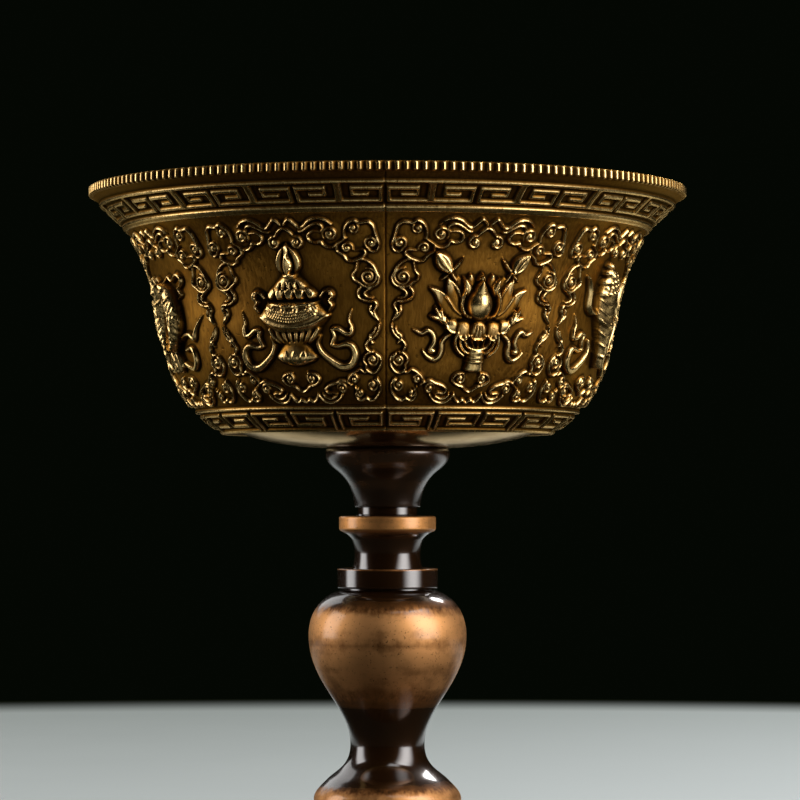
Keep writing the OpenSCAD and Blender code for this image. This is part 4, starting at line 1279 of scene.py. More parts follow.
@dataclass
class FretBand:
    """Band of mirrored square keys between two border lines, with its sizes in millimetres.

    Attributes:
        line: Outer line of the jacket.
        relief: Height of the lines.
        edge: Width over which their walls rise.
        rows: Points up the band.
        count: Number of keys round the cup.
        columns: Points across one key.
        bars: Bars of the right half of one key: shares of its width, and heights.
        borders: Lowest and greatest height of each line that runs all round.
    """

    line: JacketLine
    relief: float = 0.45
    edge: float = 0.1

    name: ClassVar[str]
    node: ClassVar[str]
    low: ClassVar[float]
    high: ClassVar[float]
    rows: ClassVar[int]
    count: ClassVar[int]
    columns: ClassVar[int]
    bars: ClassVar[list[Bar]]
    borders: ClassVar[list[Point]]

    def unit(self, heights: np.ndarray) -> Grid:
        """Carving of one key.

        Args:
            heights: Height of each row.

        Returns:
            How far each point stands out.
        """
        half_angle = math.pi / self.count
        share = (np.arange(self.columns) + 0.5) / self.columns * 2 - 1
        across = np.abs(share)[None, :] * half_angle * self.line.radius(heights)[:, None]
        width = half_angle * self.line.radius(heights)[:, None]
        z = heights[:, None]
        inside = np.full(across.shape, -np.inf)
        for start, end, z0, z1 in self.bars:
            beside = np.minimum(across - start * width, end * width - across)
            inside = np.maximum(inside, np.minimum(beside, np.minimum(z - z0, z1 - z)))
        for z0, z1 in self.borders:
            inside = np.maximum(inside, np.minimum(z - z0, z1 - z) + 0 * across)
        rise = np.clip((inside + self.edge / 2) / self.edge, 0, 1)
        return self.relief * rise * rise * (3 - 2 * rise)

    def wear_and_shade(self, carving: Grid) -> tuple[Grid, Grid]:
        """Lines rubbed bright along their edges, and the darkening between them: dark patina on the ground
        and painted shade in the creases beside the lines.

        Args:
            carving: How far each point stands out.

        Returns:
            The ridges and the hollows, from nothing to one.
        """
        raised = np.clip(carving / self.relief, 0, 1)
        soft = blurred(carving, 2, 2)
        ridge = np.clip(0.14 * raised**2 + 0.86 * np.clip((carving - soft) / 0.13, 0, 1) * raised, 0, 1)
        # Painted shade in the creases beside the lines, with the dark patina of the ground between them.
        hollow = np.clip(0.4 * (1 - raised) + 0.6 * np.clip((soft - carving) / 0.1, 0, 1), 0, 1)
        return ridge, hollow


def key_bars(z: float, step: float, way: int, split: float, post: float) -> list[Bar]:
    """Square spiral of one half of a key.

    Args:
        z: Height that its lines are counted from.
        step: Height of one line.
        way: Whether the lines are counted down or up.
        split: Share of the width, in sixteenths, that the two halves stand apart.
        post: Share of the width, in sixteenths, at which the post between them ends.

    Returns:
        The bars: two shares of the width and two heights each.
    """
    spiral = (
        (split, post, -5.5, 1),
        (split, 15.2, 0, 1),
        (14.1, 15.2, -4, 1),
        (4.2, 15.2, -4, -3),
        (4.2, 5.3, -4, -1),
        (4.2, 10.6, -2, -1),
    )
    bars = []
    for start, end, first, last in spiral:
        z0, z1 = sorted((z + way * first * step, z + way * last * step))
        bars.append((start / 16, end / 16, z0, z1))
    return bars


class UpperFret(FretBand):
    """Fret under the rim, with the plain band below it."""

    name = "fret_band_upper"
    node = "upper_fret"
    low = CarvedBowl.PANEL_HIGH
    high = 122.2
    rows = 45
    count = 20
    columns = 98

    TOP = 121.2
    STEP = 0.43
    BASE = TOP - 8 * STEP
    BAND = 1.0
    bars = key_bars(TOP - 6 * STEP, STEP, -1, -0.5, 1.2)
    borders = [(TOP - STEP, TOP), (BASE - BAND, BASE)]


class LowerFret(FretBand):
    """Fret at the foot of the jacket, the other way up."""

    name = "fret_band_lower"
    node = "lower_fret"
    low = 84.4
    high = CarvedBowl.PANEL_LOW
    rows = 46
    count = 12
    columns = 110

    BASE = 84.5
    STEP = 0.4
    TOP = BASE + 9 * STEP
    bars = key_bars(BASE + 6 * STEP, STEP, 1, 0.6, 1.8)
    borders = [(BASE, BASE + STEP), (TOP - STEP, TOP)]


@dataclass
class MilledRim:
    """Ring that closes the mouth, milled with fine teeth.

    Attributes:
        inner: Inner radius, in millimetres.
        teeth: Number of teeth.
        flute: Depth of the flutes between them, in millimetres.
        overhang: How far the crests stand out past the jacket, in millimetres.
        steps: Points round one tooth.
    """

    inner: float = 44.4
    teeth: int = 216
    flute: float = 0.42
    overhang: float = 0.8
    steps: int = 8

    def build(self, skin: Skin) -> None:
        """Builds the ring.

        Args:
            skin: Finish of the cast brass.
        """
        box = NodeBox.of("rim_ring")
        outline, milled = self.section(box)
        angles = np.linspace(0, FULL_TURN, self.teeth * self.steps + 1)
        phase = 0.5 - 0.5 * np.cos(angles * self.teeth)
        groove = self.flute * phase**1.3
        radius = outline[:, :1] - milled[:, None] * groove
        height = np.broadcast_to(outline[:, 1:], radius.shape)
        sheet = np.stack([radius * np.sin(angles), -radius * np.cos(angles), height], axis=-1) * MM
        crest = milled[:, None] * 0.95 * (1 - phase) ** 2 + (1 - milled[:, None]) * 0.2
        # Crests rubbed bright; the flutes between the teeth darkened with painted shade.
        hollow = milled[:, None] * np.clip(1.5 * phase - 0.15, 0, 1)
        masks = {Mask.RIDGE: crest, Mask.PATINA_AND_SHADE: hollow}
        piece = fold_sheet("rim_milled", sheet, masks, 50)
        finish_piece(piece, Body.BOWL, ("rim_ring",), skin)

    def section(self, box: NodeBox) -> tuple[np.ndarray, np.ndarray]:
        """Section of the ring.

        Args:
            box: Reach of the ring in the frame.

        Returns:
            The points of the section, and how far the milling reaches each of them.
        """
        crest, low, high = box.radius, box.low, box.high
        points = [(crest - self.overhang, low, 0), (crest - 0.3, low + 0.12, 0.5)]
        points += [(crest, z, 1) for z in np.linspace(low + 0.28, high - 0.34, 5)]
        points += [(crest - 0.1, high - 0.16, 0.8), (crest - 0.32, high - 0.05, 0.35), (crest - 0.6, high, 0)]
        inner = self.inner
        handles = (inner + 1, high), (inner + 0.3, high - 0.1)
        lip = bezier((crest - 0.9, high), *handles, (inner, high - 0.6), 6)
        points += [(r, z, 0) for r, z in lip]
        points += [(inner, low, 0), points[0]]
        section = np.array(points)
        return section[:, :2], section[:, 2]


@dataclass
class TurnedPiece:
    """Piece turned on a lathe, with its sizes in millimetres.

    Attributes:
        steps: Number of steps round the axis.
        node: Solid that it stands for.
        slot: Slot of its finish.
        rubbed: Heights and shares to which the patina is rubbed back to copper.
    """

    steps: int = 160

    node: ClassVar[str]
    slot: ClassVar[Slot] = Slot.DARK_BRONZE
    rubbed: ClassVar[tuple[Point, ...]]

    BORE = 2.7

    def outline(self, box: NodeBox) -> Outline:
        """Radius and height along the outer line of the piece, from the bottom up."""
        raise NotImplementedError

    def inside(self, box: NodeBox) -> Outline:
        """Inner line of the piece, from the top down; a plain bore unless the piece has more."""
        return [(self.BORE, box.high), (self.BORE, box.low)]

    def build(self, skin: Skin) -> None:
        """Builds the piece.

        Args:
            skin: Its finish.
        """
        box = NodeBox.of(self.node)
        piece = lathe(f"{self.node}_turned", self.outline(box) + self.inside(box), self.steps)
        z = np.array([v.co.z for v in piece.data.vertices]) / MM
        knots = np.array(self.rubbed)
        set_mask(piece, Mask.RUB, np.interp(z, knots[:, 0], knots[:, 1]))
        finish_piece(piece, Body.STEM, (self.node,), skin)


@dataclass
class SeatCup(TurnedPiece):
    """Cup-shaped seat under the bowl."""

    foot_d: float = 10.7
    lip: float = 0.75
    recess_d: float = 15.0
    recess_h: float = 0.6
    socket_d: float = 9.4
    socket_h: float = 6.2

    node = "seat_cup"
    rubbed = ((72, 0.06), (74.5, 0.1), (78, 0.1), (80.3, 0.08), (81.3, 0.09), (82, 0.05))

    def outline(self, box: NodeBox) -> Outline:
        """Outer line of the seat; see TurnedPiece."""
        r, top, low = box.radius, box.high, self.foot_d / 2
        height = top - box.low
        turn = (low + 0.5 * (r - low), box.low + 0.58 * height)
        handles = (low + 0.15, box.low + 0.28 * height), (turn[0] - 1.3, turn[1] - 0.12 * height)
        neck = bezier((low, box.low + 0.3), *handles, turn)
        handles = (turn[0] + 1, turn[1] + 0.092 * height), (r - 0.1, top - 0.26 * height)
        bell = bezier(turn, *handles, (r, top - 1.2 * self.lip))
        flare = neck + bell[1:]
        foot = arc((low - 0.3, box.low + 0.3), 0.3, -90, 0, 4)
        return foot[:-1] + flare + arc((r - self.lip, top - self.lip), self.lip, 0, 90)

    def inside(self, box: NodeBox) -> Outline:
        """Recess for the washer, socket for the boss and bore; see TurnedPiece."""
        recess, socket = self.recess_d / 2, self.socket_d / 2
        ledge, bottom = box.high - self.recess_h, box.high - self.socket_h
        upper = [(recess, box.high), (recess, ledge), (socket, ledge), (socket, bottom)]
        return upper + [(self.BORE, bottom), (self.BORE, box.low)]


@dataclass
class BrightRing(TurnedPiece):
    """Bright ring with a groove above it and a cone below it."""

    cone_h: float = 1.5
    band_h: float = 2.5
    neck_d: float = 11.4
    groove_d: float = 9.6
    round_r: float = 0.5

    node = "copper_ring"
    slot = Slot.BRIGHT_COPPER
    rubbed = ((67.2, 0.0), (68.3, 0.1), (68.7, 0.9), (70.9, 0.95), (71.1, 0.5), (71.18, 0.05))

    def outline(self, box: NodeBox) -> Outline:
        """Outer line of the ring; see TurnedPiece."""
        r, low, neck = box.radius, box.low, self.neck_d / 2
        band = low + self.cone_h
        top = band + self.band_h
        handles = (neck + 0.1, low + 0.4 * self.cone_h), (r - 1, band - 0.2 * self.cone_h)
        cone = bezier((neck, low), *handles, (r - 0.3, band), 12)
        lower = arc((r - self.round_r, band + self.round_r), self.round_r, -52, 0, 6)
        upper = arc((r - self.round_r, top - self.round_r), self.round_r, 0, 90)
        groove = self.groove_d / 2
        return cone + lower + upper + [(groove + 0.3, top), (groove, top + 0.2), (groove, box.high)]


@dataclass
class NeckSpool(TurnedPiece):
    """Short neck, drawn in at its middle."""

    waist_d: float = 10.6

    node = "neck_spool"
    rubbed = ((62, 0.0), (68, 0.0))

    def outline(self, box: NodeBox) -> Outline:
        """Outer line of the neck; see TurnedPiece."""
        end, height = box.radius, box.high - box.low
        waist = 4 / 3 * self.waist_d / 2 - end / 3
        handles = (waist, box.low + height / 3), (waist, box.low + 2 * height / 3)
        return bezier((end, box.low), *handles, (end, box.high), 20)


@dataclass
class CollarDisc(TurnedPiece):
    """Straight-sided collar with a chamfer below and a crisp upper edge."""

    shoulder_d: float = 14.5
    chamfer: float = 0.3

    node = "collar_disc"
    rubbed = ((59.5, 0.0), (62.2, 0.0), (62.45, 0.2), (62.6, 0.5), (62.7, 0.3))

    def outline(self, box: NodeBox) -> Outline:
        """Outer line of the collar; see TurnedPiece."""
        r, c = box.radius, self.chamfer
        low = arc((r - c, box.low + c), c, -90, 0)
        high = arc((r - 0.2, box.high - 0.2), 0.2, 0, 90, 6)
        side = [(r, box.low + c + 0.06), (r, box.high - 0.5), (r, box.high - 0.26)]
        return [(self.shoulder_d / 2 - 0.6, box.low)] + low + side + high


@dataclass
class Baluster(TurnedPiece):
    """Vase-shaped baluster with a waist and a roll at the bottom."""

    shoulder_d: float = 14.5
    belly_z: float = 27.8
    waist_d: float = 11.9
    waist_z: float = 10.3
    roll_d: float = 23.7

    node = "baluster"
    rubbed = (
        (24.2, 0.5), (25.2, 0.74), (26.8, 0.72), (27.6, 0.45), (28.4, 0.14), (29.2, 0.02), (40.2, 0.02),
        (41.3, 0.18), (42.3, 0.44), (43.5, 0.74), (45.5, 0.84), (48.6, 0.88), (49.9, 0.84), (50.4, 0.58),
        (51.0, 0.72), (51.7, 0.95), (54.2, 0.97), (55.3, 0.75), (56.4, 0.42), (57.3, 0.16), (58.2, 0.02),
        (59.5, 0.0),
    )

    def outline(self, box: NodeBox) -> Outline:
        """Outer line of the baluster; see TurnedPiece."""
        z, top_z = box.low, box.high
        belly = np.array((box.radius, z + self.belly_z))
        waist = np.array((self.waist_d / 2, z + self.waist_z))
        roll = np.array((self.roll_d / 2, z + 1.4))
        top = np.array((self.shoulder_d / 2, top_z - 0.2))
        rise, drop, swell = top[1] - belly[1], belly[1] - waist[1], waist[1] - roll[1]
        turn = np.array(((waist[0] + roll[0]) / 2 + 0.7, waist[1] - 0.62 * swell))
        lines = (
            bezier(roll, roll + (0, 0.15 * swell), turn + (1.4, -0.16 * swell), turn, 14),
            bezier(turn, turn + (-1.4, 0.15 * swell), waist - (0, 0.38 * swell), waist, 14),
            bezier(waist, waist + (0, 0.34 * drop), belly - (0, 0.44 * drop), belly, 34),
            bezier(belly, belly + (0, 0.5 * rise), top + (0.62 * (belly[0] - top[0]), -0.1 * rise), top, 20),
        )
        points = bezier((roll[0] - 0.6, z), (roll[0] - 0.15, z + 0.1), (roll[0], z + 0.8), tuple(roll), 6)
        for line in lines:
            points += line[1:]
        return points + [(top[0], top_z)]


@dataclass
class Foot(TurnedPiece):
    """Flared foot with a collar, hollow below for the nut."""

    edge_h: float = 3.2
    edge_step: float = 1.8
    collar_d: float = 31.2
    collar_h: float = 2.7
    neck_d: float = 25.2
    stand_w: float = 4.4
    hollow_h: float = 7.0
    steps: int = 192

    node = "foot"
    rubbed = (
        (0, 0.2), (1.6, 0.6), (3.2, 0.5), (3.6, 0.0), (6.5, 0.05), (8.8, 0.24), (10.5, 0.1), (13, 0.0),
        (21, 0.0), (21.8, 0.15), (23.2, 0.35), (23.8, 0.1), (24.2, 0.0),
    )

    def outline(self, box: NodeBox) -> Outline:
        """Outer line of the foot; see TurnedPiece."""
        r, top = box.radius, box.high
        neck = np.array((self.neck_d / 2, top - self.collar_h - 0.6))
        step = np.array((r - self.edge_step, self.edge_h + 0.4))
        span, rise = step[0] - neck[0], neck[1] - step[1]
        crest = step + (-0.28 * span, 0.31 * rise)
        collar_r, collar_low = self.collar_d / 2, top - self.collar_h
        points = [(r - 0.5, 0), *arc((r - 0.5, 0.5), 0.5, -60, 0, 4)]
        points += arc((r - 1, self.edge_h - 1), 1, 0, 90)
        points += [(step[0] + 0.25, self.edge_h), (step[0], self.edge_h + 0.2)]
        points += bezier(step, step + (0, 0.16 * rise), crest + (0.16 * span, -0.08 * rise), crest, 16)
        handles = crest - (0.34 * span, -0.13 * rise), neck - (-0.03 * span, 0.5 * rise)
        points += bezier(crest, *handles, neck, 30)[1:]
        points += [(neck[0], collar_low - 0.2), (neck[0] + 0.2, collar_low)]
        points += arc((collar_r - 0.8, collar_low + 0.8), 0.8, -90, 0)
        return points + arc((collar_r - 0.5, top - 0.5), 0.5, 0, 90)

    def inside(self, box: NodeBox) -> Outline:
        """Bore and hollow; see TurnedPiece."""
        inner = box.radius - self.stand_w
        handles = (0.75 * inner, 0.9 * self.hollow_h), (inner - 1, self.edge_h)
        hollow = bezier((0.45 * inner, self.hollow_h), *handles, (inner, 0.4 * self.edge_h), 18)
        return [(self.BORE, box.high), (self.BORE, self.hollow_h)] + hollow + [(inner, 0)]


@dataclass
class InnerBowl:
    """Plain bowl inside the jacket, with a polished underside and its sizes in millimetres.

    Attributes:
        line: Outer line of the jacket.
        jacket_t: Thickness of the jacket with its solder.
        bowl_t: Thickness of the bowl.
        floor_t: Thickness of its floor.
        pad_d: Diameter of the flat seat under it.
        steps: Number of steps round the axis.
    """

    line: JacketLine
    jacket_t: float = 0.95
    bowl_t: float = 1.2
    floor_t: float = 2.2
    pad_d: float = 19.0
    steps: int = 192

    def build(self, skin: Skin) -> None:
        """Builds the bowl.

        Args:
            skin: Its finish.
        """
        box = NodeBox.of("inner_bowl")
        z = np.linspace(self.line.low[1], box.high, 60)
        floor, top = box.low + self.floor_t, box.high - 0.05
        outer = [p for p in zip(*self.line.face(z, -self.jacket_t)) if p[1] < top]
        wall = zip(*self.line.face(z, -self.jacket_t - self.bowl_t))
        inner = [p for p in wall if floor + 1.8 < p[1] < top]
        start, pad = outer[0], self.pad_d / 2
        dish = bezier((pad, box.low), (pad + 7, box.low), (start[0] - 2.6, start[1] - 1.25), start, 24)
        well = bezier((0, floor), (12, floor), (inner[0][0] - 3, floor + 0.2), inner[0], 24)
        rim = [(outer[-1][0], box.high), (inner[-1][0], box.high)]
        outline = [(0, box.low)] + dish + outer[1:] + rim + inner[::-1] + well[::-1][1:]
        piece = lathe("inner_bowl_spun", outline, self.steps)
        finish_piece(piece, Body.BOWL, ("inner_bowl",), skin)


class Net:
    """Places and links the nodes of one node tree."""

    def __init__(self, tree: bpy.types.NodeTree) -> None:
        """Starts with an empty tree."""
        self.tree = tree
        tree.nodes.clear()

    def feed(self, node: Node, inputs: Inputs) -> None:
        """Gives the inputs of a node their values.

        Args:
            node: The node.
            inputs: Value or socket for each input that isn't left as it is.
        """
        for name, value in inputs.items():
            if isinstance(value, Socket):
                self.tree.links.new(value, node.inputs[name])
            else:
                node.inputs[name].default_value = value

    def add(self, kind: str, inputs: Inputs | None = None, **settings: object) -> Node:
        """Places a node.

        Args:
            kind: Type of the node, without its usual prefix.
            inputs: Value or socket for each input that isn't left as it is.
            settings: Properties of the node.

        Returns:
            The node.
        """
        node = self.tree.nodes.new(kind if kind.startswith("Node") else "ShaderNode" + kind)
        for name, value in settings.items():
            setattr(node, name, value)
        self.feed(node, inputs or {})
        return node

    def math(self, operation: str, *values: object, clamp: bool = False) -> Socket:
        """Places a sum of one, two or three values and gives its result."""
        node = self.add("Math", dict(enumerate(values)), operation=operation, use_clamp=clamp)
        return node.outputs[0]

    def times(self, first: object, second: object, clamp: bool = False) -> Socket:
        """Product of two values."""
        return self.math("MULTIPLY", first, second, clamp=clamp)

    def plus(self, first: object, second: object) -> Socket:
        """Sum of two values."""
        return self.math("ADD", first, second)

    def minus(self, first: object, second: object) -> Socket:
        """Difference of two values."""
        return self.math("SUBTRACT", first, second)

    def larger(self, first: object, second: object, clamp: bool = False) -> Socket:
        """The larger of two values."""
        return self.math("MAXIMUM", first, second, clamp=clamp)

    def blend(self, share: object, first: object, second: object) -> Socket:
        """Mixes two colours.

        Args:
            share: Share of the second colour.
            first: First colour.
            second: Second colour.

        Returns:
            The mixed colour.
        """
        colours = [c if isinstance(c, Socket) else (*c, 1) for c in (first, second)]
        inputs = {0: share, 6: colours[0], 7: colours[1]}
        return self.add("Mix", inputs, data_type="RGBA").outputs[2]

    def noise(self, place: object, scale: float, detail: float = 3, rough: float = 0.55) -> Socket:
        """Places a soft noise and gives its value."""
        inputs = {"Vector": place, "Scale": scale, "Detail": detail, "Roughness": rough}
        return self.add("TexNoise", inputs).outputs["Fac"]

    def spread(
        self, value: object, low: float, high: float, to_low: float = 0.0, to_high: float = 1.0
    ) -> Socket:
        """Maps a range of a value to another, softly and with both ends held."""
        inputs = {"Value": value, "From Min": low, "From Max": high, "To Min": to_low, "To Max": to_high}
        return self.add("MapRange", inputs, interpolation_type="SMOOTHSTEP").outputs["Result"]

    def bump(self, height: object, depth: float, share: float) -> Socket:
        """Normal of a face that is roughened by a share of a height, with a depth in metres."""
        return self.add("Bump", {"Height": height, "Distance": depth, "Strength": share}).outputs[0]

    def mask(self, mask: Mask) -> Socket:
        """Value of a point attribute."""
        return self.add("Attribute", attribute_name=mask.value).outputs["Fac"]

    def place(self) -> Socket:
        """Place on the piece, in metres."""
        return self.add("TexCoord").outputs["Object"]

    def stretched(self, place: Socket, scale: tuple[float, float, float]) -> Socket:
        """Place drawn out along the axes that have a small scale."""
        return self.add("Mapping", {"Vector": place, "Scale": scale}).outputs[0]


class Effects:
    """Shader groups that more than one finish uses."""

    def __init__(self) -> None:
        """Builds each group once."""
        self.grain = self.build_grain()
        self.turning = self.build_turning()

    @staticmethod
    def group(name: str, inputs: dict[str, float], outputs: Sequence[str]) -> tuple:
        """Starts a group.

        Args:
            name: Name of the group.
            inputs: Its inputs, with the value that each starts with.
            outputs: Its outputs.

        Returns:
            The group, its net, its input node and its output node.
        """
        tree = bpy.data.node_groups.new(name, "ShaderNodeTree")
        for label, value in inputs.items():
            socket = tree.interface.new_socket(label, in_out="INPUT", socket_type="NodeSocketFloat")
            socket.default_value = value
        for label in outputs:
            tree.interface.new_socket(label, in_out="OUTPUT", socket_type="NodeSocketFloat")
        net = Net(tree)
        return tree, net, net.add("NodeGroupInput"), net.add("NodeGroupOutput")

    def build_grain(self) -> bpy.types.NodeTree:
        """Cast skin: upright brush marks, dark specks and broad stains.

        Returns:
            The group, with the marks, the specks and the stains as masks.
        """
        tree, net, _, result = self.group("cast_grain", {}, ("Marks", "Specks", "Stains"))
        place = net.place()
        upright = net.stretched(place, (1, 1, 0.07))
        marks = net.spread(net.noise(upright, 2600, 4, 0.6), 0.36, 0.66)
        specks = net.spread(net.noise(place, 1500, 2, 0.5), 0.62, 0.72)
        stains = net.spread(net.noise(place, 95, 3, 0.6), 0.36, 0.66)
        net.feed(result, {"Marks": marks, "Specks": specks, "Stains": stains})
        return tree

    def build_turning(self) -> bpy.types.NodeTree:
        """Turned skin: fine lines and broad bands round the axis, upright streaks, soft clouds and pits.

        Returns:
            The group, with the lines, the bands, the streaks, the clouds and the pits as masks.
        """
        outputs = ("Lines", "Bands", "Streaks", "Clouds", "Pits")
        tree, net, given, result = self.group("turned_lines", {"Fineness": 1.0}, outputs)
        place = net.place()
        split = net.add("SeparateXYZ", {0: place})
        squares = [net.math("POWER", split.outputs[axis], 2.0) for axis in (0, 1)]
        reach = net.math("SQRT", net.plus(*squares))
        section = {0: net.times(reach, given.outputs["Fineness"]), 2: split.outputs[2]}
        lines = net.noise(net.add("CombineXYZ", section).outputs[0], 3000, 3, 0.7)
        level = net.stretched(place, (0.05, 0.05, 1))
        bands = net.spread(net.noise(level, 330, 3, 0.55), 0.34, 0.66)
        upright = net.stretched(place, (1, 1, 0.1))
        streaks = net.spread(net.noise(upright, 1300, 4, 0.65), 0.3, 0.7)
        clouds = net.spread(net.noise(place, 230, 6, 0.72), 0.34, 0.68)
        pits = net.spread(net.noise(place, 2400, 3, 0.6), 0.6, 0.72)
        net.feed(result, dict(zip(outputs, (lines, bands, streaks, clouds, pits))))
        return tree


class Finish:
    """A finish that becomes one material."""

    name = "finish"

    def build(self) -> Skin:
        """Builds the material.

        Returns:
            The material.
        """
        skin = bpy.data.materials.new(self.name)
        skin.use_nodes = True
        net = Net(skin.node_tree)
        shader = net.add("BsdfPrincipled", self.inputs(net))
        net.add("OutputMaterial", {"Surface": shader.outputs[0]})
        return skin

    def inputs(self, net: Net) -> Inputs:
        """Wires what the shader shows: a value or socket for each input that isn't left as it is."""
        raise NotImplementedError


@dataclass(frozen=True)
class CastBrass(Finish):
    """Cast brass, darkened in its recesses by patina and painted shade, and rubbed bright on its ridges."""

    effects: Effects
    ground: Colour = (0.33, 0.15, 0.022)
    deep: Colour = (0.18, 0.074, 0.01)
    bright: Colour = (0.92, 0.62, 0.25)
    grime_and_shade: Colour = (0.01, 0.0045, 0.0012)
    edge_tint: Colour = (0.85, 0.72, 0.52)
    mark_depth: float = 0.00003

    name = "cast_brass"

    def inputs(self, net: Net) -> Inputs:
        """Wires the brass; see Finish."""
        ridge, hollow = net.mask(Mask.RIDGE), net.mask(Mask.PATINA_AND_SHADE)
        marks, specks, stains = net.add("Group", node_tree=self.effects.grain).outputs
        base = net.blend(net.spread(marks, 0, 1, 0.3, 1), self.deep, self.ground)
        base = net.blend(net.times(stains, 0.45), base, self.deep)
        worn = net.times(net.spread(ridge, 0.2, 0.78), net.spread(marks, -0.6, 0.7))
        base = net.blend(worn, base, self.bright)
        # Dark specks, and patina with painted shade in the hollows, darken the brass towards one near-black
        # colour.
        dirt_and_shade = net.larger(net.times(hollow, 0.94), net.times(specks, 0.5), clamp=True)
        rough = net.minus(net.spread(marks, 0, 1, 0.36, 0.44), net.times(worn, 0.2))
        height = net.minus(net.times(marks, 0.6), specks)
        return {
            "Base Color": net.blend(dirt_and_shade, base, self.grime_and_shade),
            "Roughness": net.plus(rough, net.times(dirt_and_shade, 0.25)),
            "Metallic": 1.0,
            "Specular Tint": (*self.edge_tint, 1.0),
            "Normal": net.bump(height, self.mark_depth, 0.6),
        }


@dataclass(frozen=True)
class LacqueredBronze(Finish):
    """Turned bronze, darkened, rubbed back to copper on its swells and lacquered."""

    effects: Effects
    name: str
    dark: Colour = (0.02, 0.0068, 0.0013)
    copper: Colour = (0.64, 0.315, 0.115)
    edge: Colour = (0.22, 0.085, 0.025)
    coat_roughness: float = 0.12
    coat_ior: float = 1.75
    line_depth: float = 0.000012

    def inputs(self, net: Net) -> Inputs:
        """Wires the bronze; see Finish."""
        turning = net.add("Group", node_tree=self.effects.turning)
        lines, _, _, clouds, pits = turning.outputs
        shown = self.shown(net, turning)
        base = net.blend(net.spread(shown, 0.0, 0.5), self.dark, self.edge)
        base = net.blend(net.spread(shown, 0.3, 1.0), base, self.copper)
        rough = net.spread(shown, 0, 0.7, 0.32, 0.55)
        return {
            "Base Color": net.blend(net.times(pits, 0.7), base, self.dark),
            "Roughness": net.plus(rough, net.times(clouds, 0.05)),
            "Metallic": net.spread(shown, 0, 0.6, 0.55, 1.0),
            "Coat Weight": net.spread(shown, 0.1, 0.6, 1.0, 0.3),
            "Coat Roughness": self.coat_roughness,
            "Coat IOR": self.coat_ior,
            "Specular IOR Level": 0.05,
            "Normal": net.bump(lines, self.line_depth, 0.35),
        }

    @staticmethod
    def shown(net: Net, turning: Node) -> Socket:
        """Share of the metal that shows through the patina.

        Args:
            net: Net of the material.
            turning: Marks of the lathe.

        Returns:
            The share, uneven where the patina ends.
        """
        _, bands, streaks, clouds, _ = turning.outputs
        rub = net.mask(Mask.RUB)
        edge = net.times(net.spread(rub, 0.15, 0.45), net.spread(rub, 0.45, 0.75, 1, 0.12))
        uneven = net.times(net.minus(streaks, 0.5), net.times(edge, 0.4))
        mottle = net.times(net.minus(clouds, 0.5), net.spread(rub, 0.4, 0.8, 0.1, 0.4))
        uneven = net.plus(uneven, mottle)
        uneven = net.plus(uneven, net.times(net.minus(bands, 0.5), 0.28))
        return net.times(net.plus(rub, uneven), net.spread(rub, 0.0, 0.15), clamp=True)


@dataclass(frozen=True)
class SpunBrass(Finish):
    """Brass spun and polished, with faint rings and a little tarnish."""

    effects: Effects
    bright: Colour = (0.7, 0.51, 0.3)
    tarnish: Colour = (0.36, 0.22, 0.09)
    rim_tint: Colour = (0.95, 0.82, 0.61)
    ring_depth: float = 0.00001

    name = "spun_brass"

    def inputs(self, net: Net) -> Inputs:
        """Wires the brass; see Finish."""
        turning = net.add("Group", {"Fineness": 1.4}, node_tree=self.effects.turning)
        lines, clouds = turning.outputs["Lines"], turning.outputs["Clouds"]
        rough = net.spread(lines, 0.3, 0.7, 0.1, 0.16)
        return {
            "Base Color": net.blend(net.times(clouds, 0.55), self.bright, self.tarnish),
            "Roughness": net.plus(rough, net.times(clouds, 0.06)),
            "Metallic": 1.0,
            "Specular Tint": (*self.rim_tint, 1.0),
            "Normal": net.bump(lines, self.ring_depth, 0.4),
        }


@dataclass(frozen=True)
class ZincSteel(Finish):
    """Zinc-plated steel of the fixings."""

    effects: Effects
    bright: Colour = (0.6, 0.6, 0.58)
    dull: Colour = (0.36, 0.36, 0.34)
    line_depth: float = 0.00001

    name = "zinc_steel"

    def inputs(self, net: Net) -> Inputs:
        """Wires the steel; see Finish."""
        turning = net.add("Group", node_tree=self.effects.turning)
        clouds = turning.outputs["Clouds"]
        return {
            "Base Color": net.blend(clouds, self.bright, self.dull),
            "Roughness": net.spread(clouds, 0, 1, 0.28, 0.45),
            "Metallic": 1.0,
            "Normal": net.bump(turning.outputs["Lines"], self.line_depth, 0.5),
        }


@dataclass(frozen=True)
class PressedFibre(Finish):
    """Red pressed fibre of the washer."""

    effects: Effects
    light: Colour = (0.26, 0.07, 0.04)
    dark: Colour = (0.12, 0.03, 0.02)
    speck_depth: float = 0.00004

    name = "pressed_fibre"

    def inputs(self, net: Net) -> Inputs:
        """Wires the fibre; see Finish."""
        grain = net.add("Group", node_tree=self.effects.grain)
        stains = grain.outputs["Stains"]
        return {
            "Base Color": net.blend(stains, self.light, self.dark),
            "Roughness": net.spread(stains, 0, 1, 0.7, 0.9),
            "Normal": net.bump(grain.outputs["Specks"], self.speck_depth, 0.6),
        }


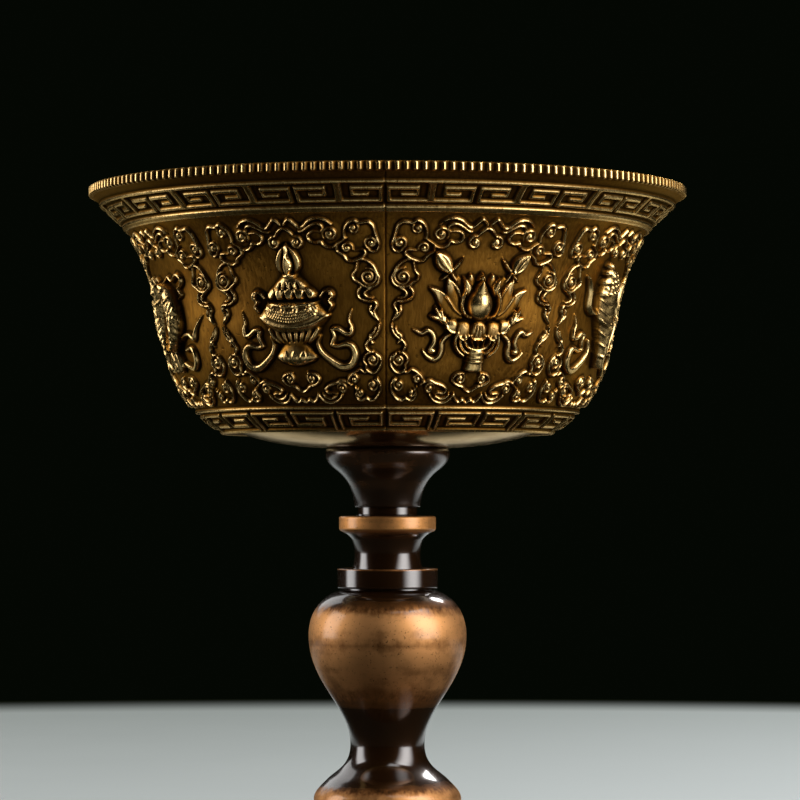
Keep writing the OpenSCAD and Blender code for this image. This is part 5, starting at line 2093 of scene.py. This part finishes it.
@dataclass(frozen=True)
class TableTop(Finish):
    """Pale table top that fades into the dark at its edge, with painted light and painted shade on it.

    Attributes:
        radius: Radius at which it has half faded, in metres.
        fade: Half of the width over which it fades, in metres.
        pale: Its two colours, softly mixed.
        bright: Colour of the painted pool of light on the right.
        painted_shade_near_lamp: Painted shade near the lamp on the right, as the camera sees it.
        lamp_foot: Place under that lamp, in metres.
        dark: Colour past its edge, and of the painted shade towards the back and in reflections.
    """

    radius: float = 0.65
    fade: float = 0.045
    pale: tuple[Colour, Colour] = ((0.525, 0.538, 0.56), (0.555, 0.568, 0.59))
    bright: Colour = (0.735, 0.75, 0.79)
    painted_shade_near_lamp: Colour = (0.2, 0.205, 0.215)
    lamp_foot: tuple[float, float, float] = (0.63, -0.37, 0)
    dark: Colour = (0.0052, 0.0064, 0.0026)

    name = "pale_table"

    def inputs(self, net: Net) -> Inputs:
        """Wires the table top; see Finish."""
        place = net.place()
        reach = net.add("VectorMath", {0: place}, operation="LENGTH").outputs["Value"]
        across, depth, _ = net.add("SeparateXYZ", {0: place}).outputs
        path = net.add("LightPath")
        pale = net.blend(net.noise(place, 18, 3), *self.pale)
        # Painted pool of light on the right of the table.
        painted_light_patch = net.times(net.spread(across, -0.1, 0.22), net.spread(across, 0.22, 0.36, 1.0, -0.6))
        pale = net.blend(painted_light_patch, pale, self.bright)
        # Painted shade near the lamp on the right, for camera rays alone.
        off_lamp = net.add("VectorMath", {0: place, 1: self.lamp_foot}, operation="DISTANCE")
        near_lamp = net.spread(off_lamp.outputs["Value"], 0.12, 0.57, 0.86, 0.0)
        pale = net.blend(net.times(path.outputs["Is Camera Ray"], near_lamp), pale, self.painted_shade_near_lamp)
        # For glossy rays the table is painted dark, as painted shade in reflections, save two strips of
        # painted light: one behind the cup, and one in front that only faces some height above the table see.
        behind = self.strip(net, depth, 0.02, 0.14, 0.3, 0.38)
        behind = net.times(behind, net.spread(reach, 0.1, 0.2))
        front = self.strip(net, depth, -0.42, -0.25, -0.22, -0.08)
        slant = net.add("LayerWeight", {"Blend": 0.5}).outputs["Facing"]
        drop = net.times(path.outputs["Ray Length"], net.minus(1.0, slant))
        front = net.times(front, net.spread(drop, 0.083, 0.088))
        front = net.times(front, net.spread(across, -0.22, 0.06, 0.4, 1.0))
        unlit = net.minus(1.0, net.larger(front, behind))
        shaded = net.times(net.times(path.outputs["Is Glossy Ray"], unlit), 0.985)
        faded = net.spread(reach, self.radius - self.fade, self.radius + self.fade)
        # Painted shade: the table darker towards the back.
        far = net.spread(depth, 0.1, 0.6, 0.0, 0.14)
        dim = net.larger(net.larger(faded, far), shaded)
        colour = net.blend(dim, pale, self.dark)
        return {"Base Color": colour, "Roughness": 0.6, "Specular IOR Level": 0.0}

    @staticmethod
    def strip(net: Net, depth: Socket, *ends: float) -> Socket:
        """Strip across the table that comes in between two depths and goes out between two more."""
        return net.times(net.spread(depth, *ends[:2]), net.spread(depth, *ends[2:], 1.0, 0.0))


@dataclass
class Stem:
    """Turned stem: seat, ring, neck, collar, baluster and foot."""

    effects: Effects
    silk: float = 0.18
    ring_copper: Colour = (0.67, 0.315, 0.1)

    def build(self) -> None:
        """Builds every turned piece, from the bowl down."""
        dark = LacqueredBronze(self.effects, "dark_lacquer").build()
        silky = LacqueredBronze(self.effects, "silky_lacquer", coat_roughness=self.silk).build()
        copper = LacqueredBronze(self.effects, "copper_lacquer", copper=self.ring_copper).build()
        SeatCup().build(silky)
        BrightRing().build(copper)
        for piece in (NeckSpool(), CollarDisc(), Baluster(), Foot()):
            piece.build(dark)


@dataclass
class Fixings:
    """Solids of the frame that stay as they are, dressed with their finishes."""

    effects: Effects

    def dress(self, brass: Skin) -> None:
        """Gives each solid its finish.

        Args:
            brass: Finish of the boss.
        """
        steel = ZincSteel(self.effects).build()
        skins = {"bowl_boss": brass, "seat_washer": PressedFibre(self.effects).build()}
        skins |= {node: steel for node in ("tie_rod", "foot_washer", "foot_nut")}
        for node, skin in skins.items():
            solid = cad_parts[node]
            solid.data.materials.clear()
            solid.data.materials.append(skin)
            LOG.info("%s: solid of the frame, dressed as %s", node, skin.name)


@dataclass(frozen=True)
class Softbox:
    """One soft lamp that points at the cup.

    Attributes:
        name: Its name.
        azimuth: Its direction from the front of the cup, to the right, in degrees.
        rise: Its direction above the level of the bowl, in degrees.
        distance: Its distance, in metres.
        size: Its width and height, in metres.
        power: Its power, in watts.
        fade: Share of its width over which each side fades, less than a half.
    """

    name: str
    azimuth: float
    rise: float
    distance: float
    size: Point
    power: float
    fade: float = 0.0

    TARGET = (0.0, 0.0, 0.085)

    def build(self) -> None:
        """Hangs the lamp."""
        a, e = math.radians(self.azimuth), math.radians(self.rise)
        back = Vector((math.sin(a) * math.cos(e), -math.cos(a) * math.cos(e), math.sin(e)))
        lamp = bpy.data.lights.new(self.name, "AREA")
        lamp.shape = "RECTANGLE"
        lamp.size, lamp.size_y = self.size
        lamp.energy = self.power
        if self.fade:
            self.fade_sides(lamp)
        holder = bpy.data.objects.new(self.name, lamp)
        holder.location = Vector(self.TARGET) + back * self.distance
        holder.rotation_euler = (-back).to_track_quat("-Z", "Y").to_euler()
        bpy.context.scene.collection.objects.link(holder)

    def fade_sides(self, lamp: bpy.types.Light) -> None:
        """Dims the lamp towards its left and right sides.

        Args:
            lamp: The lamp.
        """
        lamp.use_nodes = True
        net = Net(lamp.node_tree)
        across = net.add("SeparateXYZ", {0: net.add("TexCoord").outputs["UV"]}).outputs["X"]
        off_middle = net.math("ABSOLUTE", net.minus(across, 0.5))
        strength = net.spread(off_middle, 0.5 - self.fade, 0.5, 1.0, 0.0)
        glow = net.add("Emission", {"Strength": strength})
        net.add("OutputLight", {"Surface": glow.outputs[0]})


@dataclass
class Studio:
    """Pale table, dark room, soft lamps and the camera.

    Attributes:
        top: Finish of the table.
        air: Colour of the light that fills the room.
        eye: Place of the camera, in metres.
        lens: Focal length, in millimetres.
        sensor: Width of the sensor, in millimetres.
        pitch: Angle that the camera looks up by, in degrees.
        yaw: Angle that it looks to the right by, in degrees.
    """

    top: TableTop = TableTop()
    air: Colour = (0.6, 1, 0.45)
    eye: tuple[float, float, float] = (0.0, -0.539, 0.0742)
    lens: float = 150.5
    sensor: float = 36.0
    pitch: float = 1.66
    yaw: float = 0.214

    LAMPS = (
        Softbox("left_box", -93, 15, 0.8, (0.6, 0.6), 5.2, 0.35),
        Softbox("right_box", 60, 24, 0.8, (0.9, 0.9), 16.5, 0.45),
        Softbox("top_box", 28, 62, 0.9, (0.5, 0.3), 1.2, 0.3),
        Softbox("back_left", 215, 30, 0.9, (0.4, 0.6), 1.0),
        Softbox("back_right", 145, 38, 0.9, (0.12, 0.2), 1.8),
    )

    def build(self) -> None:
        """Builds the studio."""
        self.lay_table()
        self.light_room()
        for lamp in self.LAMPS:
            lamp.build()
        self.place_camera()
        bpy.context.scene.view_settings.view_transform = "Standard"

    def lay_table(self) -> None:
        """Lays the table that the cup stands on."""
        deselect()
        reach = self.top.radius + self.top.fade
        bpy.ops.mesh.primitive_circle_add(vertices=96, radius=reach, fill_type="NGON")
        table = bpy.context.object
        table.name = "table"
        table.data.materials.append(self.top.build())

    def light_room(self) -> None:
        """Fills the room with a little light, and with less where it is seen or mirrored."""
        world = bpy.data.worlds.new("dark_room")
        world.use_nodes = True
        net = Net(world.node_tree)
        path = net.add("LightPath")
        seen = net.larger(path.outputs["Is Camera Ray"], path.outputs["Is Glossy Ray"])
        strength = net.spread(seen, 0, 1, 0.1, 0.0022)
        back = net.add("Background", {"Color": (*self.air, 1), "Strength": strength})
        net.add("OutputWorld", {"Surface": back.outputs[0]})
        bpy.context.scene.world = world

    def place_camera(self) -> None:
        """Places the camera at the photograph's angle."""
        camera = bpy.data.objects.new("camera", bpy.data.cameras.new("camera"))
        camera.data.lens = self.lens
        camera.data.sensor_width = self.sensor
        camera.data.clip_start = 0.01
        camera.location = self.eye
        camera.rotation_euler = (math.radians(90 + self.pitch), 0, math.radians(-self.yaw))
        bpy.context.scene.collection.objects.link(camera)
        bpy.context.scene.camera = camera


def main() -> None:
    """Builds the cup, from the carved bowl to the studio."""
    logging.basicConfig(level=logging.INFO, format="%(name)s: %(message)s")
    effects = Effects()
    cast = CastBrass(effects).build()
    spun = SpunBrass(effects).build()
    line = JacketLine.of_frame()
    CarvedBowl(line).build(cast)
    MilledRim().build(cast)
    InnerBowl(line).build(spun)
    Stem(effects).build()
    Fixings(effects).dress(spun)
    Studio().build()


if __name__ == "__main__":
    main()
